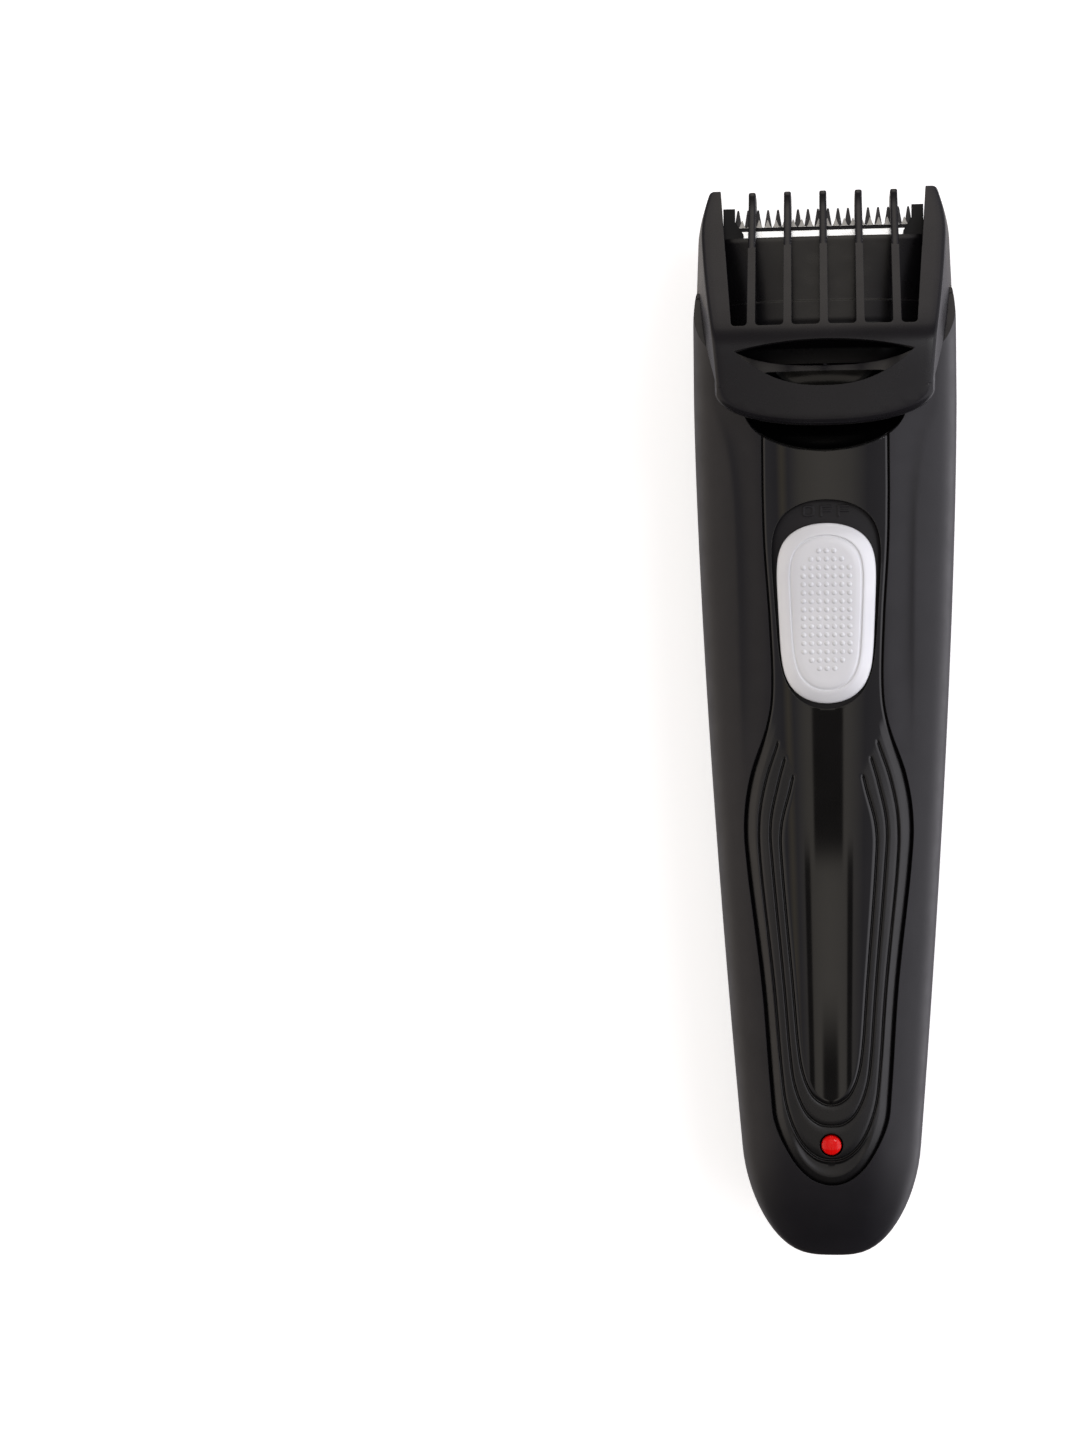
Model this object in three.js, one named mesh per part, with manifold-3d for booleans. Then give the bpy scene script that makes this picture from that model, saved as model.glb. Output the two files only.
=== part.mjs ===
// Cordless hair clipper with a sliding length comb, in millimetres.
// It lies on its back: +Z points out of the front face with the switch, +Y points to the
// blades and X runs across. The origin is under the middle of the object, on the surface.

import * as THREE from 'three';
import Module from 'manifold-3d';
import { LoftGeometry } from 'three/addons/geometries/LoftGeometry.js';
import { mergeVertices } from 'three/addons/utils/BufferGeometryUtils.js';

const wasm = await Module();
wasm.setup();

// ---------- driving dimensions ----------

const TIP_Y = 82.25;            // ends of the comb's side plates
const FOOT_Y = -TIP_Y;          // flat end with the charging port
const SPLIT_Z = 15;             // parting plane of the two shells, at the widest level
const GAP = 0.3;                // clearance between separate pieces
const WALL = 2;                 // shell wall

const SHOULDER_HALF_WIDTH = 20.2;
const SHOULDER_Y = 62;
const TAPER = { startY: 50, drop: 6.4, length: 115, power: 1.5 };
const FRONT = { z: 29.5, crestY: 38, drop: 3.6, length: 104 };
const BACK = { z: -0.5, riseY: 22, rise: 11, length: 46, power: 1.8 };
const FOOT = { widthStartY: -66, heightStartY: -60, widthPower: 2, heightPower: 2 };
const FACET = { halfWidth: 3.4, halfHeight: 3.4 };
const BODY_ROUNDNESS = 2.6;     // superellipse exponent of the handle's section

const MOUTH_SUM = 80.6;         // the shells' mouth lies where y + z has this value
const MOUTH_Y = 66.8;           // and below the parting plane at this y

const PANEL = { depth: 0.8, footY: -70.5, waistX: 9.3 };
const SCOOP = {
  y: 47.3, z: 33.55, rimHalfWidth: 12.4, rimHalfLength: 7.2, radiusX: 18.9, radiusY: 11, radiusZ: 5.5,
};
const POCKET_DEPTH = PANEL.depth + GAP;

const RECESS = { y: 17.25, halfLength: 15.65, halfWidth: 7.75, slope: 0.07 };
const BUTTON = { y: 15.9, halfLength: 13.5, halfWidth: 7.2, slope: 0.045, proud: 0.9 };
const OVAL = { sidePower: 5, endPower: 2 };

const LED = { y: -64.3, radius: 1.5 };

const COMB = {
  plateZ: 32.2, plateEndY: 57.5, slope: 0.675, crown: 0.8, midZ: 10.5, floorZ: 8.6, thickness: 1.5,
  sideThickness: 1.75, slotY: 59, ribTipY: 81.9, footY: 43.9, cornerY: 49.6, cornerX: 16.4,
};
const RIB = { count: 5, pitch: 5.44, width: 1.1, depth: 3.1 };

const BLADE = {
  z: 10.9, thickness: 1.4, halfWidth: 14.35, backY: 67.1, rootY: 76.4, tipY: 79.7,
  teeth: 18, pitch: 1.55, tipShare: 0.16,
};
const CUTTER = {
  z: 12.6, thickness: 0.8, halfWidth: 13.2, backY: 72.2, rootY: 76.7, tipY: 77.9,
  teeth: 20, pitch: 1.32, tipShare: 0.06, travel: 1,
};
const BLADE_SCREW = { x: 8.16, y: 69.6 };

const HEAD = {
  backY: 54.4, faceY: 74.7, halfWidth: 15.4, backHalfWidth: 17.3, floorZ: 12.6, wall: 1.5,
  topZ: 26.8, shoulderY: 57, backTopZ: 20.5,
};

const AXIS_Z = 16;              // motor axis
const MOTOR = { radius: 10.2, halfFlat: 7.7, backY: 27, frontY: 52, wall: 0.8 };
const CAM = { radius: 2.9, backY: 58.5, frontY: 63, throw: CUTTER.travel, pinRadius: 0.8, pinY: 68.2 };
const YOKE = { backY: 66, frontY: 68.4, halfWidth: 4.6, topZ: 19.1 };

const CELL = { radius: 7, length: 50, y: -33, z: 9.2 };
const BOARD = { z: 16.55, thickness: 1.6, footY: -76.5, topY: 22, halfWidth: 8 };
const PORT = { halfWidth: 3.95, halfHeight: 1.5 };
const CASE_SCREWS = [-70.5, -2];

// ---------- colours ----------

function plastic(color, roughness) {
  return new THREE.MeshStandardMaterial({ color, roughness, metalness: 0 });
}
function metal(color, roughness) {
  return new THREE.MeshStandardMaterial({ color, roughness, metalness: 1 });
}

const CASE_BLACK = plastic(0x2d2b30, 0.5);
const GLOSS_BLACK = plastic(0x0c0b0d, 0.1);
const COMB_BLACK = plastic(0x2c2a2e, 0.3);
const HEAD_BLACK = plastic(0x232226, 0.4);
const SILVER = plastic(0xcfd0d3, 0.3);
const CREAM = plastic(0xd8d4c8, 0.5);
const RED_LENS = plastic(0xd8202c, 0.15);
const BOARD_GREEN = plastic(0x1d5c38, 0.5);
const CELL_WRAP = plastic(0x2f5f9a, 0.35);
const STEEL = metal(0xc9cbce, 0.25);
const DARK_STEEL = metal(0x55575c, 0.35);
const NICKEL = metal(0xd6d2c8, 0.25);

// ---------- solids ----------

function solidOf(geometry) {
  geometry.deleteAttribute('normal');
  geometry.deleteAttribute('uv');
  const merged = mergeVertices(geometry);
  return new wasm.Manifold(new wasm.Mesh({
    numProp: 3,
    vertProperties: new Float32Array(merged.attributes.position.array),
    triVerts: new Uint32Array(merged.index.array),
  }));
}

function geometryOf(solid) {
  const mesh = solid.getMesh();
  const geometry = new THREE.BufferGeometry();
  geometry.setAttribute('position', new THREE.BufferAttribute(mesh.vertProperties, 3));
  geometry.setIndex(new THREE.BufferAttribute(mesh.triVerts, 1));
  return geometry;
}

function boxSolid(lowX, highX, lowY, highY, lowZ, highZ) {
  const box = new THREE.BoxGeometry(highX - lowX, highY - lowY, highZ - lowZ);
  box.translate((lowX + highX) / 2, (lowY + highY) / 2, (lowZ + highZ) / 2);
  return solidOf(box);
}

// A block that is as wide as x on both sides of the middle.
function middleBlock(halfX, lowY, highY, lowZ, highZ) {
  return boxSolid(-halfX, halfX, lowY, highY, lowZ, highZ);
}

function cylinderAlongZ(radius, x, y, lowZ, highZ, sides = 20) {
  const geometry = new THREE.CylinderGeometry(radius, radius, highZ - lowZ, sides);
  geometry.rotateX(Math.PI / 2);
  geometry.translate(x, y, (lowZ + highZ) / 2);
  return solidOf(geometry);
}

function cylinderAlongY(radius, x, z, lowY, highY, sides = 20) {
  const geometry = new THREE.CylinderGeometry(radius, radius, highY - lowY, sides);
  geometry.translate(x, (lowY + highY) / 2, z);
  return solidOf(geometry);
}

const extrusion = (shape, depth, curveSegments = 12) => new THREE.ExtrudeGeometry(shape,
  { depth, curveSegments, bevelEnabled: false });

// An outline in x and y, raised from lowZ to highZ.
function standingPrism(points, lowZ, highZ) {
  const geometry = extrusion(new THREE.Shape(points), highZ - lowZ);
  geometry.translate(0, 0, lowZ);
  return solidOf(geometry);
}

// A side profile in y and z, stretched across from lowX to highX.
function crossPrism(points, lowX, highX) {
  const geometry = extrusion(new THREE.Shape(points), highX - lowX);
  const turn = new THREE.Matrix4().set(0, 0, 1, lowX, 1, 0, 0, 0, 0, 1, 0, 0, 0, 0, 0, 1);
  geometry.applyMatrix4(turn);
  return solidOf(geometry);
}

// A shape in x and z, stretched along y.
function lengthPrism(shape, lowY, highY, curveSegments = 12) {
  const geometry = extrusion(shape, highY - lowY, curveSegments);
  geometry.rotateX(Math.PI / 2);
  geometry.translate(0, highY, 0);
  return solidOf(geometry);
}

const at = (x, y) => new THREE.Vector2(x, y);
const together = (solids) => solids.reduce((sum, next) => sum.add(next));

// One ring of a loft: a superellipse in the plane of constant y, with its own height
// above and below the middle level.
function ovalRing(y, halfWidth, middleZ, topZ, bottomZ, roundness, count) {
  const ring = [];
  for (let i = 0; i < count; i += 1) {
    const angle = (i / count) * 2 * Math.PI;
    const across = Math.abs(Math.cos(angle)) ** (2 / roundness) * Math.sign(Math.cos(angle));
    const up = Math.abs(Math.sin(angle)) ** (2 / roundness);
    const height = Math.sin(angle) >= 0 ? (topZ - middleZ) * up : (bottomZ - middleZ) * up;
    ring.push(new THREE.Vector3(-halfWidth * across, y, middleZ + height));
  }
  return ring;
}

function loft(rings) {
  const skin = new LoftGeometry(rings, { capStart: true, capEnd: true });
  return solidOf(new THREE.BufferGeometry().copy(skin));
}

function steps(from, to, count) {
  return Array.from({ length: count + 1 }, (_, i) => from + ((to - from) * i) / count);
}

// ---------- the handle's outer form ----------

// 1 along the handle, falling to 0 past the foot as a quarter of a superellipse.
function footRounding(y, startY, power) {
  const run = THREE.MathUtils.clamp((startY - y) / (startY - FOOT_Y), 0, 1);
  return (1 - run ** power) ** (1 / power);
}

function handleHalfWidth(y) {
  const taper = TAPER.drop * Math.max(0, (TAPER.startY - y) / TAPER.length) ** TAPER.power;
  const neckIn = 0.09 * Math.max(0, y - SHOULDER_Y);
  const full = SHOULDER_HALF_WIDTH - taper - neckIn;
  return FACET.halfWidth + (full - FACET.halfWidth) * footRounding(y, FOOT.widthStartY, FOOT.widthPower);
}

function handleFrontZ(y) {
  const crown = FRONT.z - FRONT.drop * (Math.max(0, FRONT.crestY - y) / FRONT.length) ** 2;
  const rounding = footRounding(y, FOOT.heightStartY, FOOT.heightPower);
  return SPLIT_Z + FACET.halfHeight + (crown - SPLIT_Z - FACET.halfHeight) * rounding;
}

function handleBackZ(y) {
  const rise = BACK.rise * Math.max(0, (y - BACK.riseY) / BACK.length) ** BACK.power;
  const rounding = footRounding(y, FOOT.heightStartY, FOOT.heightPower);
  return SPLIT_Z - FACET.halfHeight - (SPLIT_Z - BACK.z - rise - FACET.halfHeight) * rounding;
}

// The handle's form made smaller all round by inset, from the foot to endY.
function handleForm(inset, endY, count) {
  const footY = FOOT_Y + Math.max(inset, 0);
  const bend = FOOT.heightStartY;
  const footStations = steps(Math.PI / 2, 0, 7).map((angle) => bend + (footY - bend) * Math.sin(angle));
  const stations = [...footStations, ...steps(bend, endY, 11).slice(1)];
  return loft(stations.map((y) => ovalRing(y, handleHalfWidth(y) - inset, SPLIT_Z, handleFrontZ(y) - inset,
    handleBackZ(y) + inset, BODY_ROUNDNESS, count)));
}

// ---------- outlines on the front face ----------

// The panel's right edge from top to foot: a band, a waist beside the switch and a wide U.
function panelOutline(grow) {
  const scoopEdge = steps(0, PANEL.waistX, 4).map((x) => at(x,
    SCOOP.y - SCOOP.rimHalfLength * Math.sqrt(1 - (x / SCOOP.rimHalfWidth) ** 2) + grow));
  const side = new THREE.SplineCurve([
    at(PANEL.waistX, 34), at(9.1, 26), at(8.4, 15), at(8.1, 5), at(8.9, -1), at(11.3, -8.4), at(12.3, -15.2),
    at(11.9, -22.7), at(9.9, -40), at(8.8, -55.3), at(8.1, -61.3), at(5.9, -66.5), at(3.1, -69.5),
    at(0, PANEL.footY),
  ]).getPoints(30).map((point) => at(point.x === 0 ? 0 : point.x + grow, point.y));
  side[side.length - 1].y -= grow;
  scoopEdge[4].x += grow;
  const right = [...scoopEdge, ...side];
  const left = right.slice(1, -1).reverse().map((point) => at(-point.x, point.y));
  return [...right, ...left];
}

// An oval that is wider towards the blades, for the switch and its recess.
function taperedOval(oval, grow, count = 40) {
  const points = [];
  for (let i = 0; i < count; i += 1) {
    const angle = (i / count) * 2 * Math.PI;
    const along = Math.abs(Math.sin(angle)) ** (2 / OVAL.sidePower) * Math.sign(Math.sin(angle));
    const across = Math.abs(Math.cos(angle)) ** (2 / OVAL.endPower) * Math.sign(Math.cos(angle));
    const offset = along * (oval.halfLength + grow);
    points.push(at(across * (oval.halfWidth + oval.slope * offset + grow), oval.y + offset));
  }
  return points;
}

// ---------- casing ----------

const outerForm = handleForm(0, 72, 36).intersect(middleBlock(40, -100, 100, 0, 60));
const wallForm = handleForm(WALL, 74, 28);
const aboveSplit = middleBlock(40, -100, 100, SPLIT_Z + GAP / 2, 60);
const belowSplit = middleBlock(40, -100, 100, -1, SPLIT_Z - GAP / 2);
const ledHole = cylinderAlongZ(LED.radius + GAP, 0, LED.y, SPLIT_Z, 40);
const portHole = middleBlock(PORT.halfWidth, FOOT_Y - 2, FOOT_Y + 6, SPLIT_Z - PORT.halfHeight,
  SPLIT_Z + PORT.halfHeight);

// Everything towards the blades from the shells' mouth, moved forward by shift.
function beyondMouth(shift) {
  const sum = MOUTH_SUM + shift;
  return crossPrism([
    at(MOUTH_Y + shift, -10), at(120, -10), at(120, 60),
    at(sum - 60, 60), at(sum - SPLIT_Z + 1, SPLIT_Z - 1),
  ], -40, 40);
}

// The finger scoop in the front, just under the comb's plate.
function fingerScoop() {
  const sphere = new THREE.SphereGeometry(1, 28, 16);
  sphere.scale(SCOOP.radiusX, SCOOP.radiusY, SCOOP.radiusZ);
  sphere.translate(0, SCOOP.y, SCOOP.z);
  return solidOf(sphere);
}

const screwBackZ = (y) => Math.max(handleBackZ(y), 0);

function screwPillars() {
  return together(CASE_SCREWS.map((y) => cylinderAlongZ(3.4, 0, y, screwBackZ(y) + 1, SPLIT_Z - GAP / 2)));
}
function screwHoles() {
  return together(CASE_SCREWS.map((y) => cylinderAlongZ(1.5, 0, y, -2, SPLIT_Z)
    .add(cylinderAlongZ(2.9, 0, y, -2, screwBackZ(y) + 2.6))));
}

function rearShell() {
  return outerForm.subtract(wallForm).intersect(belowSplit).subtract(beyondMouth(0))
    .add(screwPillars().intersect(outerForm)).subtract(screwHoles()).subtract(portHole);
}

function frontShell() {
  const bosses = together(CASE_SCREWS.map((y) => cylinderAlongZ(2.8, 0, y, SPLIT_Z + GAP / 2,
    handleFrontZ(y) - POCKET_DEPTH - 0.4)));
  const bossHoles = together(CASE_SCREWS.map((y) => cylinderAlongZ(1.4, 0, y, SPLIT_Z - 1,
    handleFrontZ(y) - 4)));
  const pocket = standingPrism(panelOutline(GAP), SPLIT_Z, 40).subtract(handleForm(POCKET_DEPTH, 72, 36));
  const stemSlot = middleBlock(2.2, 12, 22.2, 24, 40);
  return outerForm.subtract(wallForm).intersect(aboveSplit).subtract(beyondMouth(0)).add(bosses)
    .subtract(bossHoles).subtract(pocket).subtract(fingerScoop()).subtract(stemSlot)
    .subtract(ledHole).subtract(portHole);
}

function frontPanel() {
  const skin = outerForm.subtract(handleForm(PANEL.depth, 72, 36));
  return standingPrism(panelOutline(0), SPLIT_Z + 1, 40).intersect(skin)
    .subtract(standingPrism(taperedOval(RECESS, 0), SPLIT_Z, 40)).subtract(ledHole);
}

function ledLens() {
  const topZ = handleFrontZ(LED.y);
  const dome = [at(0, 19.9), at(LED.radius - 0.3, 19.9), at(LED.radius - 0.3, 22.5), at(LED.radius, 22.5),
    at(LED.radius, topZ - 0.2)];
  const crown = steps(0, Math.PI / 2, 4).slice(1)
    .map((angle) => at(LED.radius * Math.cos(angle), topZ - 0.2 + 0.45 * Math.sin(angle)));
  crown[crown.length - 1].x = 0;
  const lathe = new THREE.LatheGeometry([...dome, ...crown], 20);
  lathe.rotateX(Math.PI / 2);
  lathe.translate(0, LED.y, 0);
  return solidOf(lathe);
}

// ---------- switch ----------

function switchButton() {
  const layer = handleForm(-BUTTON.proud, 72, 36).subtract(handleForm(PANEL.depth, 72, 36));
  return standingPrism(taperedOval(BUTTON, 0), 20, 40).intersect(layer);
}

function switchCarrier() {
  return middleBlock(4, 9, 21, 23.2, 26.5)
    .add(middleBlock(1.8, 12.5, 18.5, 26, 28.1))
    .add(middleBlock(1.2, 13.5, 16.5, 19.6, 24));
}

function switchBlock() {
  return middleBlock(3.5, 9, 21.5, BOARD.z + BOARD.thickness + GAP, 22.4)
    .subtract(middleBlock(1.6, 12.5, 20.5, 19.2, 24));
}

// ---------- comb ----------

const combTopZ = (y) => COMB.plateZ - COMB.slope * Math.max(0, y - COMB.plateEndY);

function combHalfWidth(y) {
  const tipRun = Math.max(0, (y - 75) / (TIP_Y - 75));
  return SHOULDER_HALF_WIDTH - 0.04 * Math.max(0, y - 58) - 1.4 * tipRun ** 1.7;
}

// How far each flank leans in per unit of height: more beside the plate than beside the tips.
const combLean = (y) => 0.2 - 0.1 * THREE.MathUtils.clamp((y - 50) / 24, 0, 1);

// A section of the comb: a crowned front between two creases, and leaning flanks.
function combRing(y, inset, sideInset, floorZ) {
  const halfWidth = combHalfWidth(y) - sideInset;
  const creaseZ = combTopZ(y) - inset - COMB.crown;
  const creaseX = halfWidth - combLean(y) * (creaseZ - COMB.midZ);
  const front = steps(-1, 1, 8).map((run) => [run * creaseX, creaseZ + COMB.crown * (1 - run ** 2)]);
  const section = [[-halfWidth, floorZ], [-halfWidth, COMB.midZ], ...front, [halfWidth, COMB.midZ],
    [halfWidth, floorZ]];
  return section.map(([x, z]) => new THREE.Vector3(x, y, z));
}

// The comb's form from the handle past its tips; the inner one has no floor.
function combForm(inset, sideInset, floorZ, endY) {
  const stations = [...steps(40, COMB.plateEndY, 2), ...steps(COMB.plateEndY, 75, 3).slice(1),
    ...steps(75, endY, 4).slice(1)];
  return loft(stations.map((y) => combRing(y, inset, sideInset, floorZ)));
}

// The plate's tongue, which reaches down over the handle's front with a rounded end.
function tongue() {
  const depth = COMB.cornerY - COMB.footY;
  const edge = steps(-Math.PI / 2, Math.PI / 2, 18).map((angle) => at(
    COMB.cornerX * Math.sign(angle) * Math.abs(Math.sin(angle)) ** (2 / 2.2),
    COMB.cornerY - depth * Math.cos(angle) ** (2 / 2.2),
  ));
  return standingPrism([...edge, at(COMB.cornerX, 62), at(-COMB.cornerX, 62)], 29.6, 40);
}

// The finger opening in the plate: two arcs that meet in pointed corners.
function fingerOpening() {
  const top = steps(13.35, -13.35, 12).map((x) => at(x, 56.7 - 1.6 * (x / 13.35) ** 2));
  const bottom = steps(-13.35, 13.35, 12).map((x) => at(x, 49.7 + 5.4 * Math.abs(x / 13.35) ** 2.4));
  return standingPrism([...top, ...bottom.slice(1, -1)].reverse(), 20, 40);
}

// A rib runs down the slope, round the blades' tips and back under them.
function rib(x) {
  const inner = (y) => combTopZ(y) - RIB.depth;
  const gapY = BLADE.tipY + 0.5;
  return crossPrism([
    at(57, COMB.plateZ - 0.4), at(COMB.plateEndY, COMB.plateZ - 0.3), at(80.6, combTopZ(80.6)),
    at(COMB.ribTipY, combTopZ(80.6) - 1.9), at(COMB.ribTipY, 11.6), at(80.4, COMB.floorZ),
    at(69.2, COMB.floorZ), at(68.6, 9.4), at(69.2, 10.2), at(79.4, 10.2), at(gapY, 11.2),
    at(gapY, inner(gapY) - 0.2), at(57, inner(57)),
  ].reverse(), x - RIB.width / 2, x + RIB.width / 2);
}

function combGuard() {
  const slotHalf = (y) => 13.9 + ((y - COMB.slotY) * 1.9) / (TIP_Y - COMB.slotY);
  const slots = standingPrism([at(-slotHalf(COMB.slotY), COMB.slotY), at(slotHalf(COMB.slotY), COMB.slotY),
    at(slotHalf(90), 90), at(-slotHalf(90), 90)], -5, 40);
  const sideFloor = crossPrism([at(30, -5), at(100, -5), at(100, 15), at(TIP_Y, 10.6), at(66, COMB.floorZ),
    at(30, COMB.floorZ)], -40, 40);
  const wall = combForm(0, 0, 4, TIP_Y).subtract(combForm(COMB.thickness, COMB.sideThickness, -6, TIP_Y + 1));
  const ribs = Array.from({ length: RIB.count }, (_, i) => rib((i - (RIB.count - 1) / 2) * RIB.pitch));
  return wall.intersect(beyondMouth(0.55).add(tongue())).subtract(slots).subtract(sideFloor)
    .subtract(fingerOpening()).add(together(ribs));
}

// ---------- cutting head ----------

function headForm(inset, floorZ, endY) {
  const startY = HEAD.backY - inset;
  const slopeY = HEAD.shoulderY + 1.4;
  const stations = [...steps(startY, HEAD.shoulderY, 1), ...steps(slopeY, endY, 7)];
  return loft(stations.map((y) => {
    const narrowing = Math.max(0, (y - HEAD.shoulderY) / (HEAD.faceY - HEAD.shoulderY));
    const halfWidth = HEAD.backHalfWidth - (HEAD.backHalfWidth - HEAD.halfWidth) * narrowing;
    const slopeZ = Math.min(HEAD.topZ, combTopZ(y) - RIB.depth - 0.6);
    const topZ = y > HEAD.shoulderY ? slopeZ : HEAD.backTopZ;
    return ovalRing(y, halfWidth - inset, SPLIT_Z, topZ - inset, floorZ, BODY_ROUNDNESS, 28);
  }));
}

function headHousing() {
  const blockTopZ = 15.4;
  const skirt = middleBlock(HEAD.halfWidth, MOUTH_Y + GAP, HEAD.faceY, BLADE.z, blockTopZ);
  const guards = [-1, 1].map((side) => crossPrism([
    at(HEAD.faceY - 1, BLADE.z), at(79.6, BLADE.z), at(79.6, 12.8), at(78.4, 13.9), at(HEAD.faceY - 1, 15),
  ], Math.min(side * HEAD.halfWidth, side * 14.7), Math.max(side * HEAD.halfWidth, side * 14.7)));
  const bosses = [-1, 1].map((side) => cylinderAlongZ(2.2, side * BLADE_SCREW.x, BLADE_SCREW.y, 13, 18));
  const bossHoles = [-1, 1].map((side) => cylinderAlongZ(1.2, side * BLADE_SCREW.x, BLADE_SCREW.y, 10, 16.5));
  const hollow = headForm(HEAD.wall, HEAD.floorZ + HEAD.wall, HEAD.faceY - 1.2);
  const bladePocket = middleBlock(BLADE.halfWidth + GAP, 60, 90, 0, BLADE.z + BLADE.thickness + GAP);
  const cutterPocket = middleBlock(14.5, CUTTER.backY - GAP, 90, 12, CUTTER.z + CUTTER.thickness + GAP);
  const driveSlot = middleBlock(5.75, 50, 73.5, 12, 15.2);
  const crossbarSlot = middleBlock(10.3, 71.6, 73.5, 12, 15.2);
  return headForm(0, HEAD.floorZ, HEAD.faceY).add(skirt).subtract(hollow).add(together(bosses))
    .add(together(guards)).subtract(together(bossHoles)).subtract(bladePocket).subtract(cutterPocket)
    .subtract(driveSlot).subtract(crossbarSlot);
}

// A blade's outline with its row of teeth, each narrower at its tip than at its root.
function toothOutline(blade) {
  const { halfWidth, backY, rootY, tipY, teeth, pitch, tipShare } = blade;
  const rootShare = 0.34;
  const points = [at(-halfWidth, backY), at(halfWidth, backY), at(halfWidth, rootY)];
  for (let i = 0; i < teeth; i += 1) {
    const centre = ((teeth - 1) / 2 - i) * pitch;
    points.push(at(centre + rootShare * pitch, rootY), at(centre + tipShare * pitch, tipY));
    points.push(at(centre - tipShare * pitch, tipY), at(centre - rootShare * pitch, rootY));
  }
  points.push(at(-halfWidth, rootY));
  return points;
}

function fixedBlade() {
  const holes = [-1, 1].map((side) => cylinderAlongZ(1.2, side * BLADE_SCREW.x, BLADE_SCREW.y, 0, 20, 16));
  return standingPrism(toothOutline(BLADE), BLADE.z, BLADE.z + BLADE.thickness).subtract(together(holes));
}

function movingBlade() {
  return standingPrism(toothOutline(CUTTER), CUTTER.z, CUTTER.z + CUTTER.thickness);
}

// The carriage presses on the moving blade, and its upright window takes the cam's pin.
function bladeCarriage() {
  const footZ = CUTTER.z + CUTTER.thickness + GAP;
  const stem = middleBlock(YOKE.halfWidth, YOKE.backY, 73.2, footZ, 14.9);
  const crossbar = middleBlock(9, 71.9, 73.2, footZ, 14.9);
  const upright = middleBlock(YOKE.halfWidth, YOKE.backY, YOKE.frontY, footZ, YOKE.topZ);
  const reach = CAM.throw + CAM.pinRadius + 0.4;
  const window = middleBlock(reach + CUTTER.travel, YOKE.backY - 1, YOKE.frontY + 1,
    AXIS_Z - reach, AXIS_Z + reach);
  return stem.add(crossbar).add(upright).subtract(window);
}

function bladeSpring() {
  return crossPrism([
    at(69.9, 18), at(72.2, 15.2), at(73, 15.2), at(73, 15.6), at(72.4, 15.6), at(70.2, 18.2),
  ], -3.6, 3.6);
}

function bladeScrew(side) {
  return cylinderAlongZ(1.9, side * BLADE_SCREW.x, BLADE_SCREW.y, BLADE.z - 1.3, BLADE.z - GAP)
    .add(cylinderAlongZ(0.9, side * BLADE_SCREW.x, BLADE_SCREW.y, BLADE.z - 1, 16, 14))
    .subtract(boxSolid(side * BLADE_SCREW.x - 3, side * BLADE_SCREW.x + 3, BLADE_SCREW.y - 0.25,
      BLADE_SCREW.y + 0.25, 0, BLADE.z - 0.8));
}

// ---------- motor and drive ----------

// A circle cut by two flats, as seen along the motor's axis.
function canShape(radius, halfFlat) {
  const corner = Math.asin(halfFlat / radius);
  const shape = new THREE.Shape();
  shape.absarc(0, AXIS_Z, radius, -corner, corner, false);
  shape.absarc(0, AXIS_Z, radius, Math.PI - corner, Math.PI + corner, false);
  return shape;
}

function motorCan() {
  const inside = lengthPrism(canShape(MOTOR.radius - MOTOR.wall, MOTOR.halfFlat - MOTOR.wall),
    MOTOR.backY - 1, MOTOR.frontY - MOTOR.wall);
  return lengthPrism(canShape(MOTOR.radius, MOTOR.halfFlat), MOTOR.backY, MOTOR.frontY).subtract(inside)
    .add(cylinderAlongY(3, 0, AXIS_Z, MOTOR.frontY - 0.5, MOTOR.frontY + 1.6))
    .subtract(cylinderAlongY(1.35, 0, AXIS_Z, MOTOR.frontY - 3, MOTOR.frontY + 3));
}

function motorEndCap() {
  return lengthPrism(canShape(MOTOR.radius, MOTOR.halfFlat), MOTOR.backY - 1.8, MOTOR.backY - GAP)
    .subtract(cylinderAlongY(1.35, 0, AXIS_Z, MOTOR.backY - 4, MOTOR.backY + 1));
}

function motorMagnet(side) {
  const shape = new THREE.Shape();
  const spread = 0.72;
  const start = side > 0 ? -spread : Math.PI - spread;
  shape.absarc(0, AXIS_Z, 9.1, start, start + 2 * spread, false);
  shape.absarc(0, AXIS_Z, 7, start + 2 * spread, start, true);
  return lengthPrism(shape, 31, 47, 8);
}

// Three poles round the shaft, each a stem with a curved shoe.
function motorArmature() {
  const turned = (width, lowZ, highZ, turn) => {
    const bar = new THREE.BoxGeometry(width, 15, highZ - lowZ);
    bar.translate(0, 39, (lowZ + highZ) / 2);
    return solidOf(bar.rotateY(turn));
  };
  const turns = [0, 1, 2].map((i) => (i * 2 * Math.PI) / 3);
  const stems = together(turns.map((turn) => turned(2.6, 0, 5.4, turn)));
  const slots = together(turns.map((turn) => turned(2.4, 3, 9, turn + Math.PI / 3)));
  const shoes = cylinderAlongY(6.4, 0, 0, 32, 46, 30).subtract(cylinderAlongY(4.9, 0, 0, 30, 48, 18));
  return cylinderAlongY(2.6, 0, 0, 31, 47, 18).add(stems).add(shoes.subtract(slots))
    .subtract(cylinderAlongY(1.3, 0, 0, 30, 50, 16));
}

function eccentricCam() {
  return cylinderAlongY(CAM.radius, 0, 0, CAM.backY, CAM.frontY)
    .add(cylinderAlongY(CAM.pinRadius, 0, CAM.throw, CAM.frontY - 0.5, CAM.pinY, 14))
    .subtract(cylinderAlongY(1.3, 0, 0, CAM.backY - 1, CAM.frontY - 1.2, 16));
}

function motorMount() {
  return middleBlock(13, MOTOR.frontY + GAP, HEAD.backY - GAP, 10, HEAD.backTopZ)
    .subtract(cylinderAlongY(3.4, 0, AXIS_Z, MOTOR.frontY - 1, HEAD.backY + 1));
}

// ---------- battery and electronics ----------

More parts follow.
